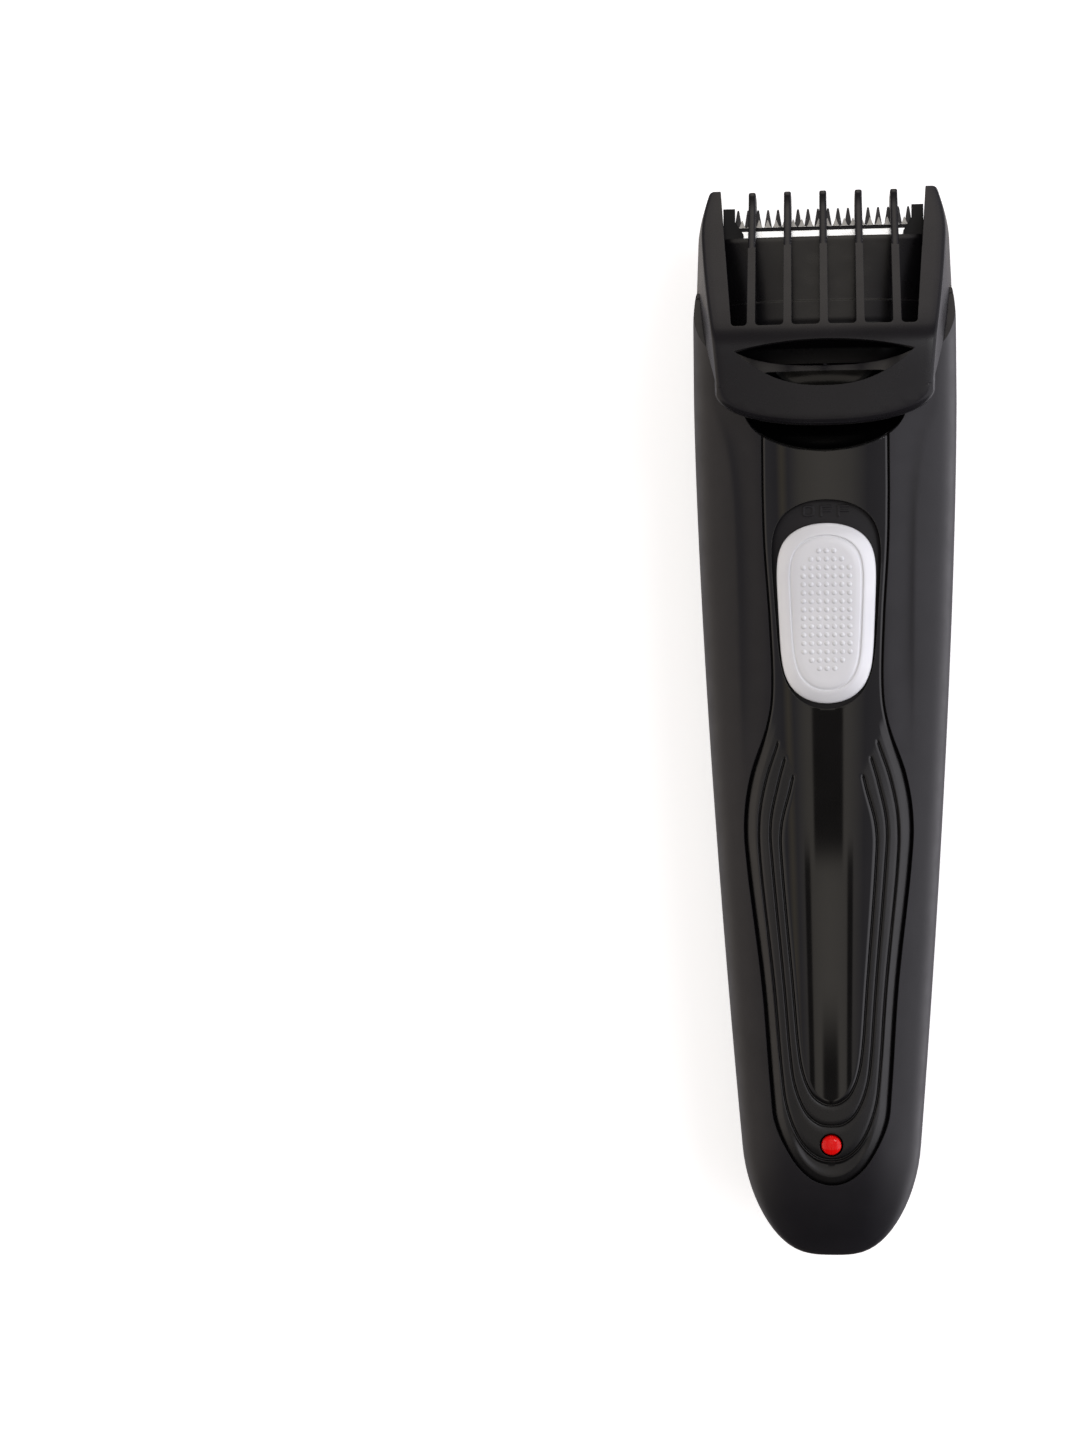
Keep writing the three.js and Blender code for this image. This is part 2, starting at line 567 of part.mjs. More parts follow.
function batteryCell() {
  const endY = CELL.length / 2;
  const profile = [at(0, -endY), at(CELL.radius - 0.6, -endY), at(CELL.radius, 0.6 - endY),
    at(CELL.radius, endY - 1.6), at(CELL.radius - 0.6, endY - 1),
    at(2.8, endY - 1), at(2.8, endY), at(0, endY)];
  const lathe = new THREE.LatheGeometry(profile, 28);
  lathe.translate(0, CELL.y, CELL.z);
  return solidOf(lathe);
}

function batteryTab(end) {
  const innerY = CELL.y + end * (CELL.length / 2 + GAP);
  const outerY = innerY + end * 0.4;
  return middleBlock(2.5, Math.min(innerY, outerY), Math.max(innerY, outerY), 6, BOARD.z - GAP);
}

function circuitBoard() {
  const outline = [at(-4.6, BOARD.footY), at(4.6, BOARD.footY), at(BOARD.halfWidth, -62),
    at(BOARD.halfWidth, BOARD.topY), at(-BOARD.halfWidth, BOARD.topY), at(-BOARD.halfWidth, -62)];
  const holes = CASE_SCREWS.map((y) => cylinderAlongZ(3.2, 0, y, 10, 20));
  return standingPrism(outline, BOARD.z, BOARD.z + BOARD.thickness).subtract(together(holes));
}

function usbSocket() {
  const outline = [at(-3.6, 1.2), at(-3.6, -0.2), at(-2.7, -1.2), at(2.7, -1.2), at(3.6, -0.2), at(3.6, 1.2)];
  const shape = (shrink) => new THREE.Shape(outline.map((point) => at(point.x * (1 - shrink / 3.6),
    SPLIT_Z + point.y * (1 - shrink / 1.2))));
  return lengthPrism(shape(0), FOOT_Y + 0.5, -76.6).subtract(lengthPrism(shape(0.25), FOOT_Y - 1, -77.2));
}

function chargeLed() {
  const lowZ = BOARD.z + BOARD.thickness + GAP;
  return middleBlock(1, LED.y - 0.8, LED.y + 0.8, lowZ, lowZ + 1);
}

function motorLead(side) {
  const route = new THREE.CatmullRomCurve3([
    new THREE.Vector3(side * 5.4, 24.9, 19.5), new THREE.Vector3(side * 5.4, 23.4, 20.6),
    new THREE.Vector3(side * 6, 20.6, 20.8), new THREE.Vector3(side * 6.2, 19.2, 19.6),
    new THREE.Vector3(side * 6.2, 19, 18.6),
  ]);
  const circle = new THREE.Shape().absarc(0, 0, 0.55, 0, 2 * Math.PI, false);
  return solidOf(new THREE.ExtrudeGeometry(circle, { steps: 12, extrudePath: route, curveSegments: 4 }));
}

function caseScrew(y) {
  const headZ = screwBackZ(y) + 0.9;
  return cylinderAlongZ(2.5, 0, y, headZ, headZ + 1.4)
    .add(cylinderAlongZ(1.1, 0, y, headZ + 1, handleFrontZ(y) - 5, 14))
    .subtract(boxSolid(-3, 3, y - 0.3, y + 0.3, headZ - 1, headZ + 0.6));
}

// ---------- assembly ----------

const clipper = new THREE.Group();

function addPiece(parent, name, solid, material) {
  const mesh = new THREE.Mesh(geometryOf(solid), material);
  mesh.name = name;
  parent.add(mesh);
}

const casing = new THREE.Group();
addPiece(casing, 'rear_shell', rearShell(), CASE_BLACK);
addPiece(casing, 'front_shell', frontShell(), CASE_BLACK);
addPiece(casing, 'front_panel', frontPanel(), GLOSS_BLACK);
addPiece(casing, 'led_lens', ledLens(), RED_LENS);
addPiece(casing, 'case_screw_foot', caseScrew(CASE_SCREWS[0]), DARK_STEEL);
addPiece(casing, 'case_screw_middle', caseScrew(CASE_SCREWS[1]), DARK_STEEL);

const switchUnit = new THREE.Group();
addPiece(switchUnit, 'switch_button', switchButton(), SILVER);
addPiece(switchUnit, 'switch_carrier', switchCarrier(), CREAM);

const combUnit = new THREE.Group();
addPiece(combUnit, 'comb_guard', combGuard(), COMB_BLACK);

const head = new THREE.Group();
addPiece(head, 'head_housing', headHousing(), HEAD_BLACK);
addPiece(head, 'fixed_blade', fixedBlade(), DARK_STEEL);
addPiece(head, 'moving_blade', movingBlade(), STEEL);
addPiece(head, 'blade_carriage', bladeCarriage(), CREAM);
addPiece(head, 'blade_spring', bladeSpring(), STEEL);
addPiece(head, 'blade_screw_left', bladeScrew(-1), NICKEL);
addPiece(head, 'blade_screw_right', bladeScrew(1), NICKEL);

const drive = new THREE.Group();
addPiece(drive, 'motor_can', motorCan(), NICKEL);
addPiece(drive, 'motor_end_cap', motorEndCap(), CREAM);
addPiece(drive, 'motor_magnet_left', motorMagnet(-1), DARK_STEEL);
addPiece(drive, 'motor_magnet_right', motorMagnet(1), DARK_STEEL);
addPiece(drive, 'motor_mount', motorMount(), CASE_BLACK);

const rotor = new THREE.Group();
rotor.position.z = AXIS_Z;
addPiece(rotor, 'motor_shaft', cylinderAlongY(1, 0, 0, MOTOR.backY - 1.6, 61.4, 16), STEEL);
addPiece(rotor, 'motor_armature', motorArmature(), DARK_STEEL);
addPiece(rotor, 'eccentric_cam', eccentricCam(), CREAM);

const electronics = new THREE.Group();
addPiece(electronics, 'battery_cell', batteryCell(), CELL_WRAP);
addPiece(electronics, 'battery_tab_positive', batteryTab(1), NICKEL);
addPiece(electronics, 'battery_tab_negative', batteryTab(-1), NICKEL);
addPiece(electronics, 'circuit_board', circuitBoard(), BOARD_GREEN);
addPiece(electronics, 'switch_block', switchBlock(), GLOSS_BLACK);
addPiece(electronics, 'usb_socket', usbSocket(), STEEL);
addPiece(electronics, 'charge_led', chargeLed(), CREAM);
addPiece(electronics, 'motor_lead_red', motorLead(1), RED_LENS);
addPiece(electronics, 'motor_lead_black', motorLead(-1), CASE_BLACK);

clipper.add(casing, switchUnit, combUnit, head, drive, rotor, electronics);

export default clipper;
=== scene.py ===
"""The hair clipper's looks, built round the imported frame. Shape code works in millimetres."""

import math

import bmesh
import bpy
import numpy as np
from mathutils import Matrix, Vector


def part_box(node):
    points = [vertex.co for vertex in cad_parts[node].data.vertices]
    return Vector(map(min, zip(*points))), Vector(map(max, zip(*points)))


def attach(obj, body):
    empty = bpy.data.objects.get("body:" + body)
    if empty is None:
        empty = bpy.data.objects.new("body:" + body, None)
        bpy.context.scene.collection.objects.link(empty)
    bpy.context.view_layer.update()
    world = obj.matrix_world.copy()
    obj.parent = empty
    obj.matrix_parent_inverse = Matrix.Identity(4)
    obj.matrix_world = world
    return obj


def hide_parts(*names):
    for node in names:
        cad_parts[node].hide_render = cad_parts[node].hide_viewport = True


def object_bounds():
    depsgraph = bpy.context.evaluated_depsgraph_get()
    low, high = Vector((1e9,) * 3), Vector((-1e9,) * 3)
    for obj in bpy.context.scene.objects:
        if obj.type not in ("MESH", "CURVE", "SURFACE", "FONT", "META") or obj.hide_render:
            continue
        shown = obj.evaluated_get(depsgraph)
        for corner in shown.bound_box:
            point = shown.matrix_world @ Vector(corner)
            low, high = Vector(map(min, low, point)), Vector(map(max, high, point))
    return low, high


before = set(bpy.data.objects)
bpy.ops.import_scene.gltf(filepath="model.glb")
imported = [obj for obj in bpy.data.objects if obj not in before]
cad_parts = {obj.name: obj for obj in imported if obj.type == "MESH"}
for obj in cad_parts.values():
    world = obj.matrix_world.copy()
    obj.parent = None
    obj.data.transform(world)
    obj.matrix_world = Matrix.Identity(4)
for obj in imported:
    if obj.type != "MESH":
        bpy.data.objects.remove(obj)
cad_low, cad_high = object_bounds()

MM = 0.001


def box_mm(node):
    """Lowest and highest corner of a CAD node, in millimetres."""
    low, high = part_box(node)
    return low / MM, high / MM


# ---------- sizes taken from the frame ----------

front_low, front_high = box_mm("front_shell")
rear_high = box_mm("rear_shell")[1]
panel_low = box_mm("front_panel")[0]
button_low, button_high = box_mm("switch_button")
comb_low, comb_high = box_mm("comb_guard")
head_low, head_high = box_mm("head_housing")
fixed_low, fixed_high = box_mm("fixed_blade")
moving_low, moving_high = box_mm("moving_blade")
lens_low, lens_high = box_mm("led_lens")

FOOT_Y = front_low.y
TIP_Y = comb_high.y
GAP = front_low.z - rear_high.z
SPLIT_Z = (front_low.z + rear_high.z) / 2
FRONT_Z = front_high.z
WALL = 2.0
# The shells end upright at MOUTH_Y at the bottom, and above the split where y + z is MOUTH_SUM.
MOUTH_Y, MOUTH_SUM = 66.8, 80.6

# ---------- the handle's outer form, as in the CAD part ----------

SHOULDER_HALF_WIDTH = cad_high.x / MM
SHOULDER_Y = 62
TAPER_START_Y, TAPER_DROP, TAPER_LENGTH, TAPER_POWER = 50, 6.4, 115, 1.5
NECK_SLOPE = 0.09
CREST_Y, FRONT_DROP, FRONT_LENGTH = 38, 3.6, 104
BACK_Z, BACK_RISE_Y, BACK_RISE, BACK_LENGTH, BACK_POWER = -0.5, 22, 11, 46, 1.8
WIDTH_ROUNDING_Y, WIDTH_ROUNDING_POWER = -66, 2
HEIGHT_ROUNDING_Y, HEIGHT_ROUNDING_POWER = -60, 2
FACET_HALF_WIDTH, FACET_HALF_HEIGHT = 3.4, 3.4
ROUNDNESS = 2.6
PANEL_DEPTH = 0.8
POCKET_DEPTH = PANEL_DEPTH + GAP


def foot_rounding(y, start_y, power):
    """1 along the handle, falling to 0 at the foot as a quarter of a superellipse."""
    run = np.clip((start_y - y) / (start_y - FOOT_Y), 0, 1)
    return (1 - run**power) ** (1 / power)


def handle_half_width(y):
    taper = TAPER_DROP * (np.maximum(0, TAPER_START_Y - y) / TAPER_LENGTH) ** TAPER_POWER
    neck = NECK_SLOPE * np.maximum(0, y - SHOULDER_Y)
    rounding = foot_rounding(y, WIDTH_ROUNDING_Y, WIDTH_ROUNDING_POWER)
    return FACET_HALF_WIDTH + (SHOULDER_HALF_WIDTH - taper - neck - FACET_HALF_WIDTH) * rounding


def handle_front_z(y):
    crown = FRONT_Z - FRONT_DROP * (np.maximum(0, CREST_Y - y) / FRONT_LENGTH) ** 2
    rounding = foot_rounding(y, HEIGHT_ROUNDING_Y, HEIGHT_ROUNDING_POWER)
    return SPLIT_Z + FACET_HALF_HEIGHT + (crown - SPLIT_Z - FACET_HALF_HEIGHT) * rounding


def handle_back_z(y):
    rise = BACK_RISE * (np.maximum(0, y - BACK_RISE_Y) / BACK_LENGTH) ** BACK_POWER
    rounding = foot_rounding(y, HEIGHT_ROUNDING_Y, HEIGHT_ROUNDING_POWER)
    return SPLIT_Z - FACET_HALF_HEIGHT - (SPLIT_Z - BACK_Z - rise - FACET_HALF_HEIGHT) * rounding


def front_surface_z(x, y):
    """Height of the handle's front surface over a point inside its outline."""
    across = np.clip(np.abs(x) / handle_half_width(y), 0, 1)
    rise = (handle_front_z(y) - SPLIT_Z) * (1 - across**ROUNDNESS) ** (1 / ROUNDNESS)
    return SPLIT_Z + rise


def smooth_step(run):
    run = np.clip(run, 0, 1)
    return run * run * (3 - 2 * run)


def stack(*parts):
    """Points from their coordinates. A single number stands for the same one at every point."""
    return np.stack(np.broadcast_arrays(*parts), 1)


def full_turn(count):
    return np.linspace(0, 2 * math.pi, count, endpoint=False)


def superellipse(angles, x_power, y_power):
    """The x and y of a unit superellipse at the angles."""
    x, y = np.cos(angles), np.sin(angles)
    return np.sign(x) * np.abs(x) ** (2 / x_power), np.sign(y) * np.abs(y) ** (2 / y_power)


def spline(points, count, level_end=False):
    """Points on a smooth curve through the given ones (Catmull-Rom), which may end level at x 0."""
    p = np.array(points, float)
    after = p[-2] * [-1, 1] if level_end else 2 * p[-1] - p[-2]
    p = np.vstack([2 * p[0] - p[1], p, after])
    t = np.linspace(0, len(points) - 1, count)
    i = np.minimum(t.astype(int), len(points) - 2)
    f = (t - i)[:, None]
    a, b, c, d = p[i], p[i + 1], p[i + 2], p[i + 3]
    square = 2 * a - 5 * b + 4 * c - d
    return 0.5 * (2 * b + (c - a) * f + square * f**2 + (3 * b - a - 3 * c + d) * f**3)


# The soft crease between the front face and the flank, from the panel's hip to the comb.
CREASE = spline([(12.2, -16), (12.9, -4), (13.1, 10), (13.3, 24), (13.7, 33.7), (14.8, 41.5), (17, 47.3)], 80)
HOLLOW_START = np.array([(8.9, -1), (8.1, 5), (8.4, 15), (9.3, 34)])
HOLLOW_FADE_Y, HOLLOW_FADE_LENGTH = -14, 26
CREASE_DEPTH = 0.34


def crease_relief(x, y):
    """A shallow hollow between the panel and the crease, which fades down the handle."""
    crease_x = np.interp(y, CREASE[:, 1], CREASE[:, 0])
    start_x = np.interp(y, HOLLOW_START[:, 1], HOLLOW_START[:, 0])
    run = np.clip((np.abs(x) - start_x) / (crease_x - start_x), 0, 1)
    most = 4 / 27
    return CREASE_DEPTH * smooth_step((y - HOLLOW_FADE_Y) / HOLLOW_FADE_LENGTH) * run**2 * (1 - run) / most


# ---------- mesh tools ----------


def in_scene(name, data):
    """A new object, linked to the scene."""
    made = bpy.data.objects.new(name, data)
    bpy.context.scene.collection.objects.link(made)
    return made


def new_piece(name, vertices, faces):
    mesh = bpy.data.meshes.new(name)
    mesh.from_pydata([tuple(map(float, v)) for v in vertices], [], [tuple(f) for f in faces])
    mesh.update()
    return in_scene(name, mesh)


def edit(piece, change):
    """Runs a bmesh change on a piece's mesh."""
    work = bmesh.new()
    work.from_mesh(piece.data)
    change(work)
    work.to_mesh(piece.data)
    work.free()
    return piece


def face_outward(piece):
    return edit(piece, lambda work: bmesh.ops.recalc_face_normals(work, faces=work.faces))


def merge_near(piece, distance=0.002):
    return edit(piece, lambda work: bmesh.ops.remove_doubles(work, verts=work.verts, dist=distance))


def grid_faces(rows, columns, closed):
    """Quads between the successive rings or strips of a grid of points."""
    last = columns if closed else columns - 1
    faces = []
    for i in range(rows - 1):
        for j in range(last):
            k = (j + 1) % columns
            faces.append((i * columns + j, i * columns + k, (i + 1) * columns + k, (i + 1) * columns + j))
    return faces


def ring_loft(name, rings):
    """A closed solid through rings of equal length, with flat ends."""
    rings = np.array(rings)
    rows, columns = rings.shape[:2]
    faces = grid_faces(rows, columns, True)
    faces += [list(range(columns)), [(rows - 1) * columns + j for j in range(columns)]]
    return face_outward(new_piece(name, rings.reshape(-1, 3), faces))


def prism(outline, low, high, axis="Z"):
    """An outline in x and y raised along Z, or one in y and z stretched along X."""
    a, b = np.array(outline, float).T
    rings = [stack(a, b, level) if axis == "Z" else stack(level, a, b) for level in (low, high)]
    return ring_loft("prism", rings)


def block(low_x, high_x, low_y, high_y, low_z, high_z):
    outline = [(low_x, low_y), (high_x, low_y), (high_x, high_y), (low_x, high_y)]
    return prism(outline, low_z, high_z)


def middle_block(half_x, low_y, high_y, low_z, high_z):
    return block(-half_x, half_x, low_y, high_y, low_z, high_z)


def circle(radius, x, y, sides=48):
    angles = full_turn(sides)
    return stack(x + radius * np.cos(angles), y + radius * np.sin(angles))


def rod(radius, x, y, low_z, high_z, sides=48):
    return prism(circle(radius, x, y, sides), low_z, high_z)


def bake_modifiers(piece):
    graph = bpy.context.evaluated_depsgraph_get()
    mesh = bpy.data.meshes.new_from_object(piece.evaluated_get(graph))
    old = piece.data
    piece.modifiers.clear()
    piece.data = mesh
    bpy.data.meshes.remove(old)
    return piece


def combine(piece, tool, operation, solver="MANIFOLD"):
    """Cuts, joins or intersects a piece with a closed tool, which is used up."""
    modifier = piece.modifiers.new("combine", "BOOLEAN")
    modifier.operation = operation
    modifier.solver = solver
    modifier.object = tool
    bpy.context.view_layer.update()
    bake_modifiers(piece)
    bpy.data.objects.remove(tool)
    if not len(piece.data.polygons):
        raise ValueError(f"{piece.name}: {operation} left nothing")
    return piece


def cut(piece, *tools):
    for tool in tools:
        combine(piece, tool, "DIFFERENCE")
    return piece


def keep(piece, tool):
    return combine(piece, tool, "INTERSECT")


def join(piece, *tools):
    for tool in tools:
        combine(piece, tool, "UNION")
    return piece


def bevel(piece, width, segments, angle):
    """Rounds the sharp edges of a mesh that has no slivers."""
    modifier = piece.modifiers.new("round", "BEVEL")
    modifier.width = width
    modifier.segments = segments
    modifier.limit_method = "ANGLE"
    modifier.angle_limit = math.radians(angle)
    bpy.context.view_layer.update()
    return bake_modifiers(piece)


def mark_faces(piece, name, chosen):
    """A mask that is 1 on the faces whose middle passes the test, and 0 elsewhere."""
    mesh = piece.data
    values = np.zeros(len(mesh.loops), np.float32)
    for face in mesh.polygons:
        if chosen(face.center):
            values[list(face.loop_indices)] = 1
    mesh.attributes.new(name, "FLOAT", "CORNER").data.foreach_set("value", values)


def settle(piece, name, body, material, nodes, sharp=32):
    """Scales a finished piece to metres, shades it and hands it to the frame."""
    piece.name = name
    piece.data.name = name
    merge_near(piece)
    piece.data.transform(Matrix.Scale(MM, 4))
    piece.data.shade_smooth()
    piece.data.set_sharp_from_angle(angle=math.radians(sharp))
    piece.data.materials.clear()
    piece.data.materials.append(material)
    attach(piece, body)
    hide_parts(*nodes)
    return piece


# ---------- materials ----------


def add_node(tree, kind, inputs=None, **settings):
    """A shader node with its settings, its inputs linked to sockets or set to values."""
    made = tree.nodes.new(kind)
    for key, value in settings.items():
        setattr(made, key, value)
    for key, value in (inputs or {}).items():
        if isinstance(value, bpy.types.NodeSocket):
            tree.links.new(value, made.inputs[key])
        else:
            made.inputs[key].default_value = value
    return made


def calculate(tree, operation, *values):
    """The values taken together two by two, from the left."""
    total = values[0]
    for value in values[1:]:
        total = add_node(tree, "ShaderNodeMath", {0: total, 1: value}, operation=operation).outputs[0]
    return total


NOISE_LOW, NOISE_HIGH = 0.3, 0.7
# The Mix node's colour sockets by number, because its other kinds share their names.
COLOUR_A, COLOUR_B, COLOUR_OUT = 6, 7, 2


class Finish:
    """A procedural material: its shader, and nodes that vary it over the piece."""

    def __init__(self, name, **sockets):
        self.material = bpy.data.materials.new(name)
        self.material.use_nodes = True
        self.tree = self.material.node_tree
        self.shader = self.tree.nodes["Principled BSDF"]
        for socket, value in sockets.items():
            self.shader.inputs[socket.replace("_", " ")].default_value = value
        self.place = self.tree.nodes.new("ShaderNodeTexCoord").outputs["Object"]
        self.normal = None

    def node(self, kind, inputs=None, **settings):
        return add_node(self.tree, kind, inputs, **settings)

    def mask(self, name):
        return self.node("ShaderNodeAttribute", attribute_name=name).outputs["Fac"]

    def noise(self, size_mm, detail=2, stretch=(1, 1, 1)):
        """Soft noise from 0 to 1 with blobs of the given size."""
        place = self.node("ShaderNodeMapping", {"Vector": self.place, "Scale": stretch}).outputs[0]
        inputs = {"Vector": place, "Scale": 1 / (size_mm * MM), "Detail": detail}
        return self.node("ShaderNodeTexNoise", inputs).outputs["Fac"]

    def spread(self, noise, low, high):
        """A noise's middle range stretched over low to high."""
        inputs = {"Value": noise, "From Min": NOISE_LOW, "From Max": NOISE_HIGH,
                  "To Min": low, "To Max": high}
        return self.node("ShaderNodeMapRange", inputs).outputs[0]

    def uneven(self, size_mm, detail, low, high):
        """A value that wanders between low and high."""
        return self.spread(self.noise(size_mm, detail), low, high)

    def between(self, factor, first, second):
        """A value that goes from first to second with the factor."""
        inputs = {"Factor": factor, "A": first, "B": second}
        return self.node("ShaderNodeMix", inputs, data_type="FLOAT").outputs[0]

    def blend(self, factor, first, second):
        """A colour that goes from first to second with the factor."""
        ends = [c if isinstance(c, bpy.types.NodeSocket) else (*c, 1) for c in (first, second)]
        inputs = {COLOUR_A: ends[0], COLOUR_B: ends[1], 0: factor}
        return self.node("ShaderNodeMix", inputs, data_type="RGBA").outputs[COLOUR_OUT]

    def link(self, socket, value):
        self.tree.links.new(value, self.shader.inputs[socket])
        return self

    def soft_edges(self, radius_mm):
        self.normal = self.node("ShaderNodeBevel", {"Radius": radius_mm * MM}, samples=6).outputs[0]
        return self

    def bump(self, height, depth_mm):
        inputs = {"Height": height, "Distance": depth_mm * MM, "Strength": 1.0}
        if self.normal:
            inputs["Normal"] = self.normal
        self.normal = self.node("ShaderNodeBump", inputs).outputs[0]
        return self

    def done(self):
        if self.normal:
            self.link("Normal", self.normal)
        return self.material


def moulded(name, dark, light, roughness, uneven=0.05, grain_mm=0.25, grain_depth=0.004, edge=0.12, **more):
    """Moulded plastic: a faint cloud of tone, uneven gloss, fine grain and softened edges."""
    finish = Finish(name, **more)
    finish.link("Base Color", finish.blend(finish.uneven(9, 3, 0, 1), dark, light))
    finish.link("Roughness", finish.uneven(3.5, 4, roughness - uneven, roughness + uneven))
    if edge:
        finish.soft_edges(edge)
    return finish.bump(finish.noise(grain_mm, 2), grain_depth).done()


def brushed(name, dark, light, roughness):
    """Metal with fine lines across it, a little uneven in tone and gloss, with its colour painted near black
    as shade where a mask is 1.
    """
    finish = Finish(name, Metallic=1.0)
    lines = finish.noise(0.6, 3, (1, 30, 1))
    tone = finish.blend(finish.spread(lines, 0, 1), dark, light)
    # Painted shade: the colour turns near black where the mask is 1.
    finish.link("Base Color", finish.blend(finish.mask("dark"), tone, (0.012, 0.012, 0.013)))
    finish.link("Roughness", finish.uneven(2, 2, roughness - 0.05, roughness + 0.05))
    return finish.soft_edges(0.05).bump(lines, 0.003).done()


def casing_plastic():
    """Satin black plastic, polished where the mask is 1, with its colour there painted near black as shade.
    """
    finish = Finish("casing_plastic", Specular_IOR_Level=0.27)
    mask = finish.mask("polish")
    satin = finish.blend(finish.uneven(9, 3, 0, 1), (0.0078, 0.0073, 0.0094), (0.0102, 0.0094, 0.012))
    # Painted shade: where the mask is 1 (the finger scoop under the comb's plate) the colour turns near
    # black; the low roughness there is real polish.
    finish.link("Base Color", finish.blend(mask, satin, (0.0006, 0.0006, 0.0007)))
    finish.link("Roughness", finish.between(mask, finish.uneven(3.5, 4, 0.33, 0.41), 0.08))
    return finish.soft_edges(0.12).bump(finish.noise(0.25, 2), 0.002).done()


def panel_gloss():
    """Black plastic that is polished where the mask is 1 and satin where it is 0."""
    finish = Finish("panel_gloss", Specular_IOR_Level=0.44)
    mask = finish.mask("polish")
    cloud = finish.uneven(6, 3, 0, 1)
    finish.link("Base Color", finish.blend(cloud, (0.003, 0.003, 0.0032), (0.0045, 0.0042, 0.0046)))
    polished = calculate(finish.tree, "ADD", finish.uneven(5, 4, 0.0, 0.02), 0.04)
    finish.link("Roughness", finish.between(mask, finish.uneven(3, 3, 0.32, 0.38), polished))
    unpolished = calculate(finish.tree, "SUBTRACT", 1.0, mask)
    grain = calculate(finish.tree, "MULTIPLY", finish.noise(0.22, 2), unpolished)
    return finish.soft_edges(0.15).bump(grain, 0.003).done()


CASING = casing_plastic()
COMB_PLASTIC = moulded("comb_plastic", (0.007, 0.0065, 0.0082), (0.0095, 0.0088, 0.0108), 0.26, 0.03,
                       0.5, 0.001, Specular_IOR_Level=0.24)
HEAD_PLASTIC = moulded("head_plastic", (0.005, 0.0048, 0.006), (0.007, 0.0066, 0.008), 0.3, 0.04,
                       0.4, 0.0015, Specular_IOR_Level=0.17)
SILVER = moulded("switch_silver", (0.8, 0.815, 0.85), (0.86, 0.875, 0.9), 0.4, 0.04, 0.12, 0.002,
                 Metallic=0.15)
CREAM = moulded("inner_plastic", (0.62, 0.58, 0.5), (0.7, 0.67, 0.59), 0.48)
INNER_BLACK = moulded("inner_black_plastic", (0.014, 0.014, 0.015), (0.02, 0.02, 0.021), 0.5)
BOARD = moulded("board_green", (0.006, 0.05, 0.02), (0.012, 0.085, 0.035), 0.35, 0.08, 0.6, 0.008)
WRAP = moulded("cell_wrap", (0.02, 0.08, 0.24), (0.03, 0.11, 0.31), 0.3)
MAGNET = moulded("magnet_ferrite", (0.03, 0.03, 0.032), (0.05, 0.048, 0.05), 0.6, 0.08, 0.2, 0.01)
LEAD_RED = moulded("lead_red", (0.5, 0.015, 0.015), (0.6, 0.03, 0.025), 0.35)
LEAD_BLACK = moulded("lead_black", (0.012, 0.012, 0.012), (0.02, 0.02, 0.02), 0.35)
STEEL = brushed("polished_steel", (0.76, 0.77, 0.79), (0.86, 0.87, 0.89), 0.16)
DARK_STEEL = brushed("dark_steel", (0.035, 0.034, 0.036), (0.06, 0.059, 0.062), 0.3)
NICKEL = brushed("nickel_plate", (0.62, 0.59, 0.54), (0.74, 0.71, 0.66), 0.22)
LENS = moulded("red_lens", (0.78, 0.001, 0.001), (0.88, 0.004, 0.002), 0.12, 0.02, 0.8, 0.0003, 0.0,
               Specular_IOR_Level=0.3)
PANEL = panel_gloss()


# ---------- outlines on the front face ----------

PANEL_EDGE = [
    (9.3, 34), (9.1, 26), (8.4, 15), (8.1, 5), (8.9, -1), (11.3, -8.4), (12.3, -15.2), (11.9, -22.7),
    (9.9, -40), (8.8, -55.3), (8.1, -61.3), (5.9, -66.5), (3.1, -69.5), (0, panel_low.y)]
# The three grooves keep step with the edge's points, so that a grid of quads runs along them.
OUTER_GROOVE = [
    (7.3, 34), (7.1, 26), (6.4, 15), (6.1, 5), (7.1, -2), (9.3, -9), (10.4, -15.2), (10.2, -22.7),
    (8.4, -40), (7.4, -53), (6.6, -58.8), (4.8, -63.4), (2.5, -65.9), (0, -66.6)]
MIDDLE_GROOVE = [
    (5.9, 34), (5.7, 26), (5.1, 15), (4.9, 5), (5.8, -3), (7.5, -9.6), (8.7, -15.8), (8.4, -22.7),
    (6.9, -40), (6.1, -50.5), (5.4, -55.4), (3.9, -59.2), (2, -61), (0, -61.4)]
INNER_GROOVE = [
    (4.4, 34), (4.2, 26), (3.8, 15), (3.7, 5), (4.4, -4), (5.6, -10), (7.1, -16.2), (7, -22.7),
    (5.6, -40), (4.9, -49), (4.2, -53.4), (3, -56.4), (1.5, -57.8), (0, -58.2)]
CENTRE_LINE = [(0, y) for y in (34, 26, 15, 5, -4, -11, -17, -23, -38, -45, -48, -50, -51, -51.5)]
GROOVE_START_Y = [-3.2, -5.6, -8.3]
SCOOP_Y, SCOOP_ARC_DEPTH, SCOOP_ARC_HALF_WIDTH = 47.3, 7.2, 12.4


def panel_top_y(x):
    return SCOOP_Y - SCOOP_ARC_DEPTH * np.sqrt(1 - (np.asarray(x) / SCOOP_ARC_HALF_WIDTH) ** 2)


def rail(points, offset=0.0, rows=300, top_rows=14):
    """A line of the panel's grid from its top arc to the foot, moved outward by the offset,
    which may be a formula of y."""
    line = spline(points, rows, level_end=points[0][0] > 0)
    offset = offset(line[:, 1])[:, None] if callable(offset) else offset
    along = np.gradient(line, axis=0)
    along[-1] = (-1, 0)
    along /= np.linalg.norm(along, axis=1)[:, None]
    line = line + offset * stack(-along[:, 1], along[:, 0])
    line[-1, 0] = 0
    start = line[0].copy()
    top = np.linspace(panel_top_y(start[0]), start[1], top_rows, endpoint=False)
    return np.vstack([stack(start[0], top), line])


def mirrored(right):
    """A closed outline from its right half, which starts and ends near the middle."""
    left = right[::-1] * [-1, 1]
    return np.vstack([right, left[np.abs(left[:, 0]) > 1e-6]])


EDGE_GROOVE, GROOVE_FADE_Y, GROOVE_FADE_LENGTH = 0.12, 2, 12
FOOT_GAP_SHARE, FOOT_CURVE_Y, FOOT_CURVE_LENGTH = 0.4, -67, 7


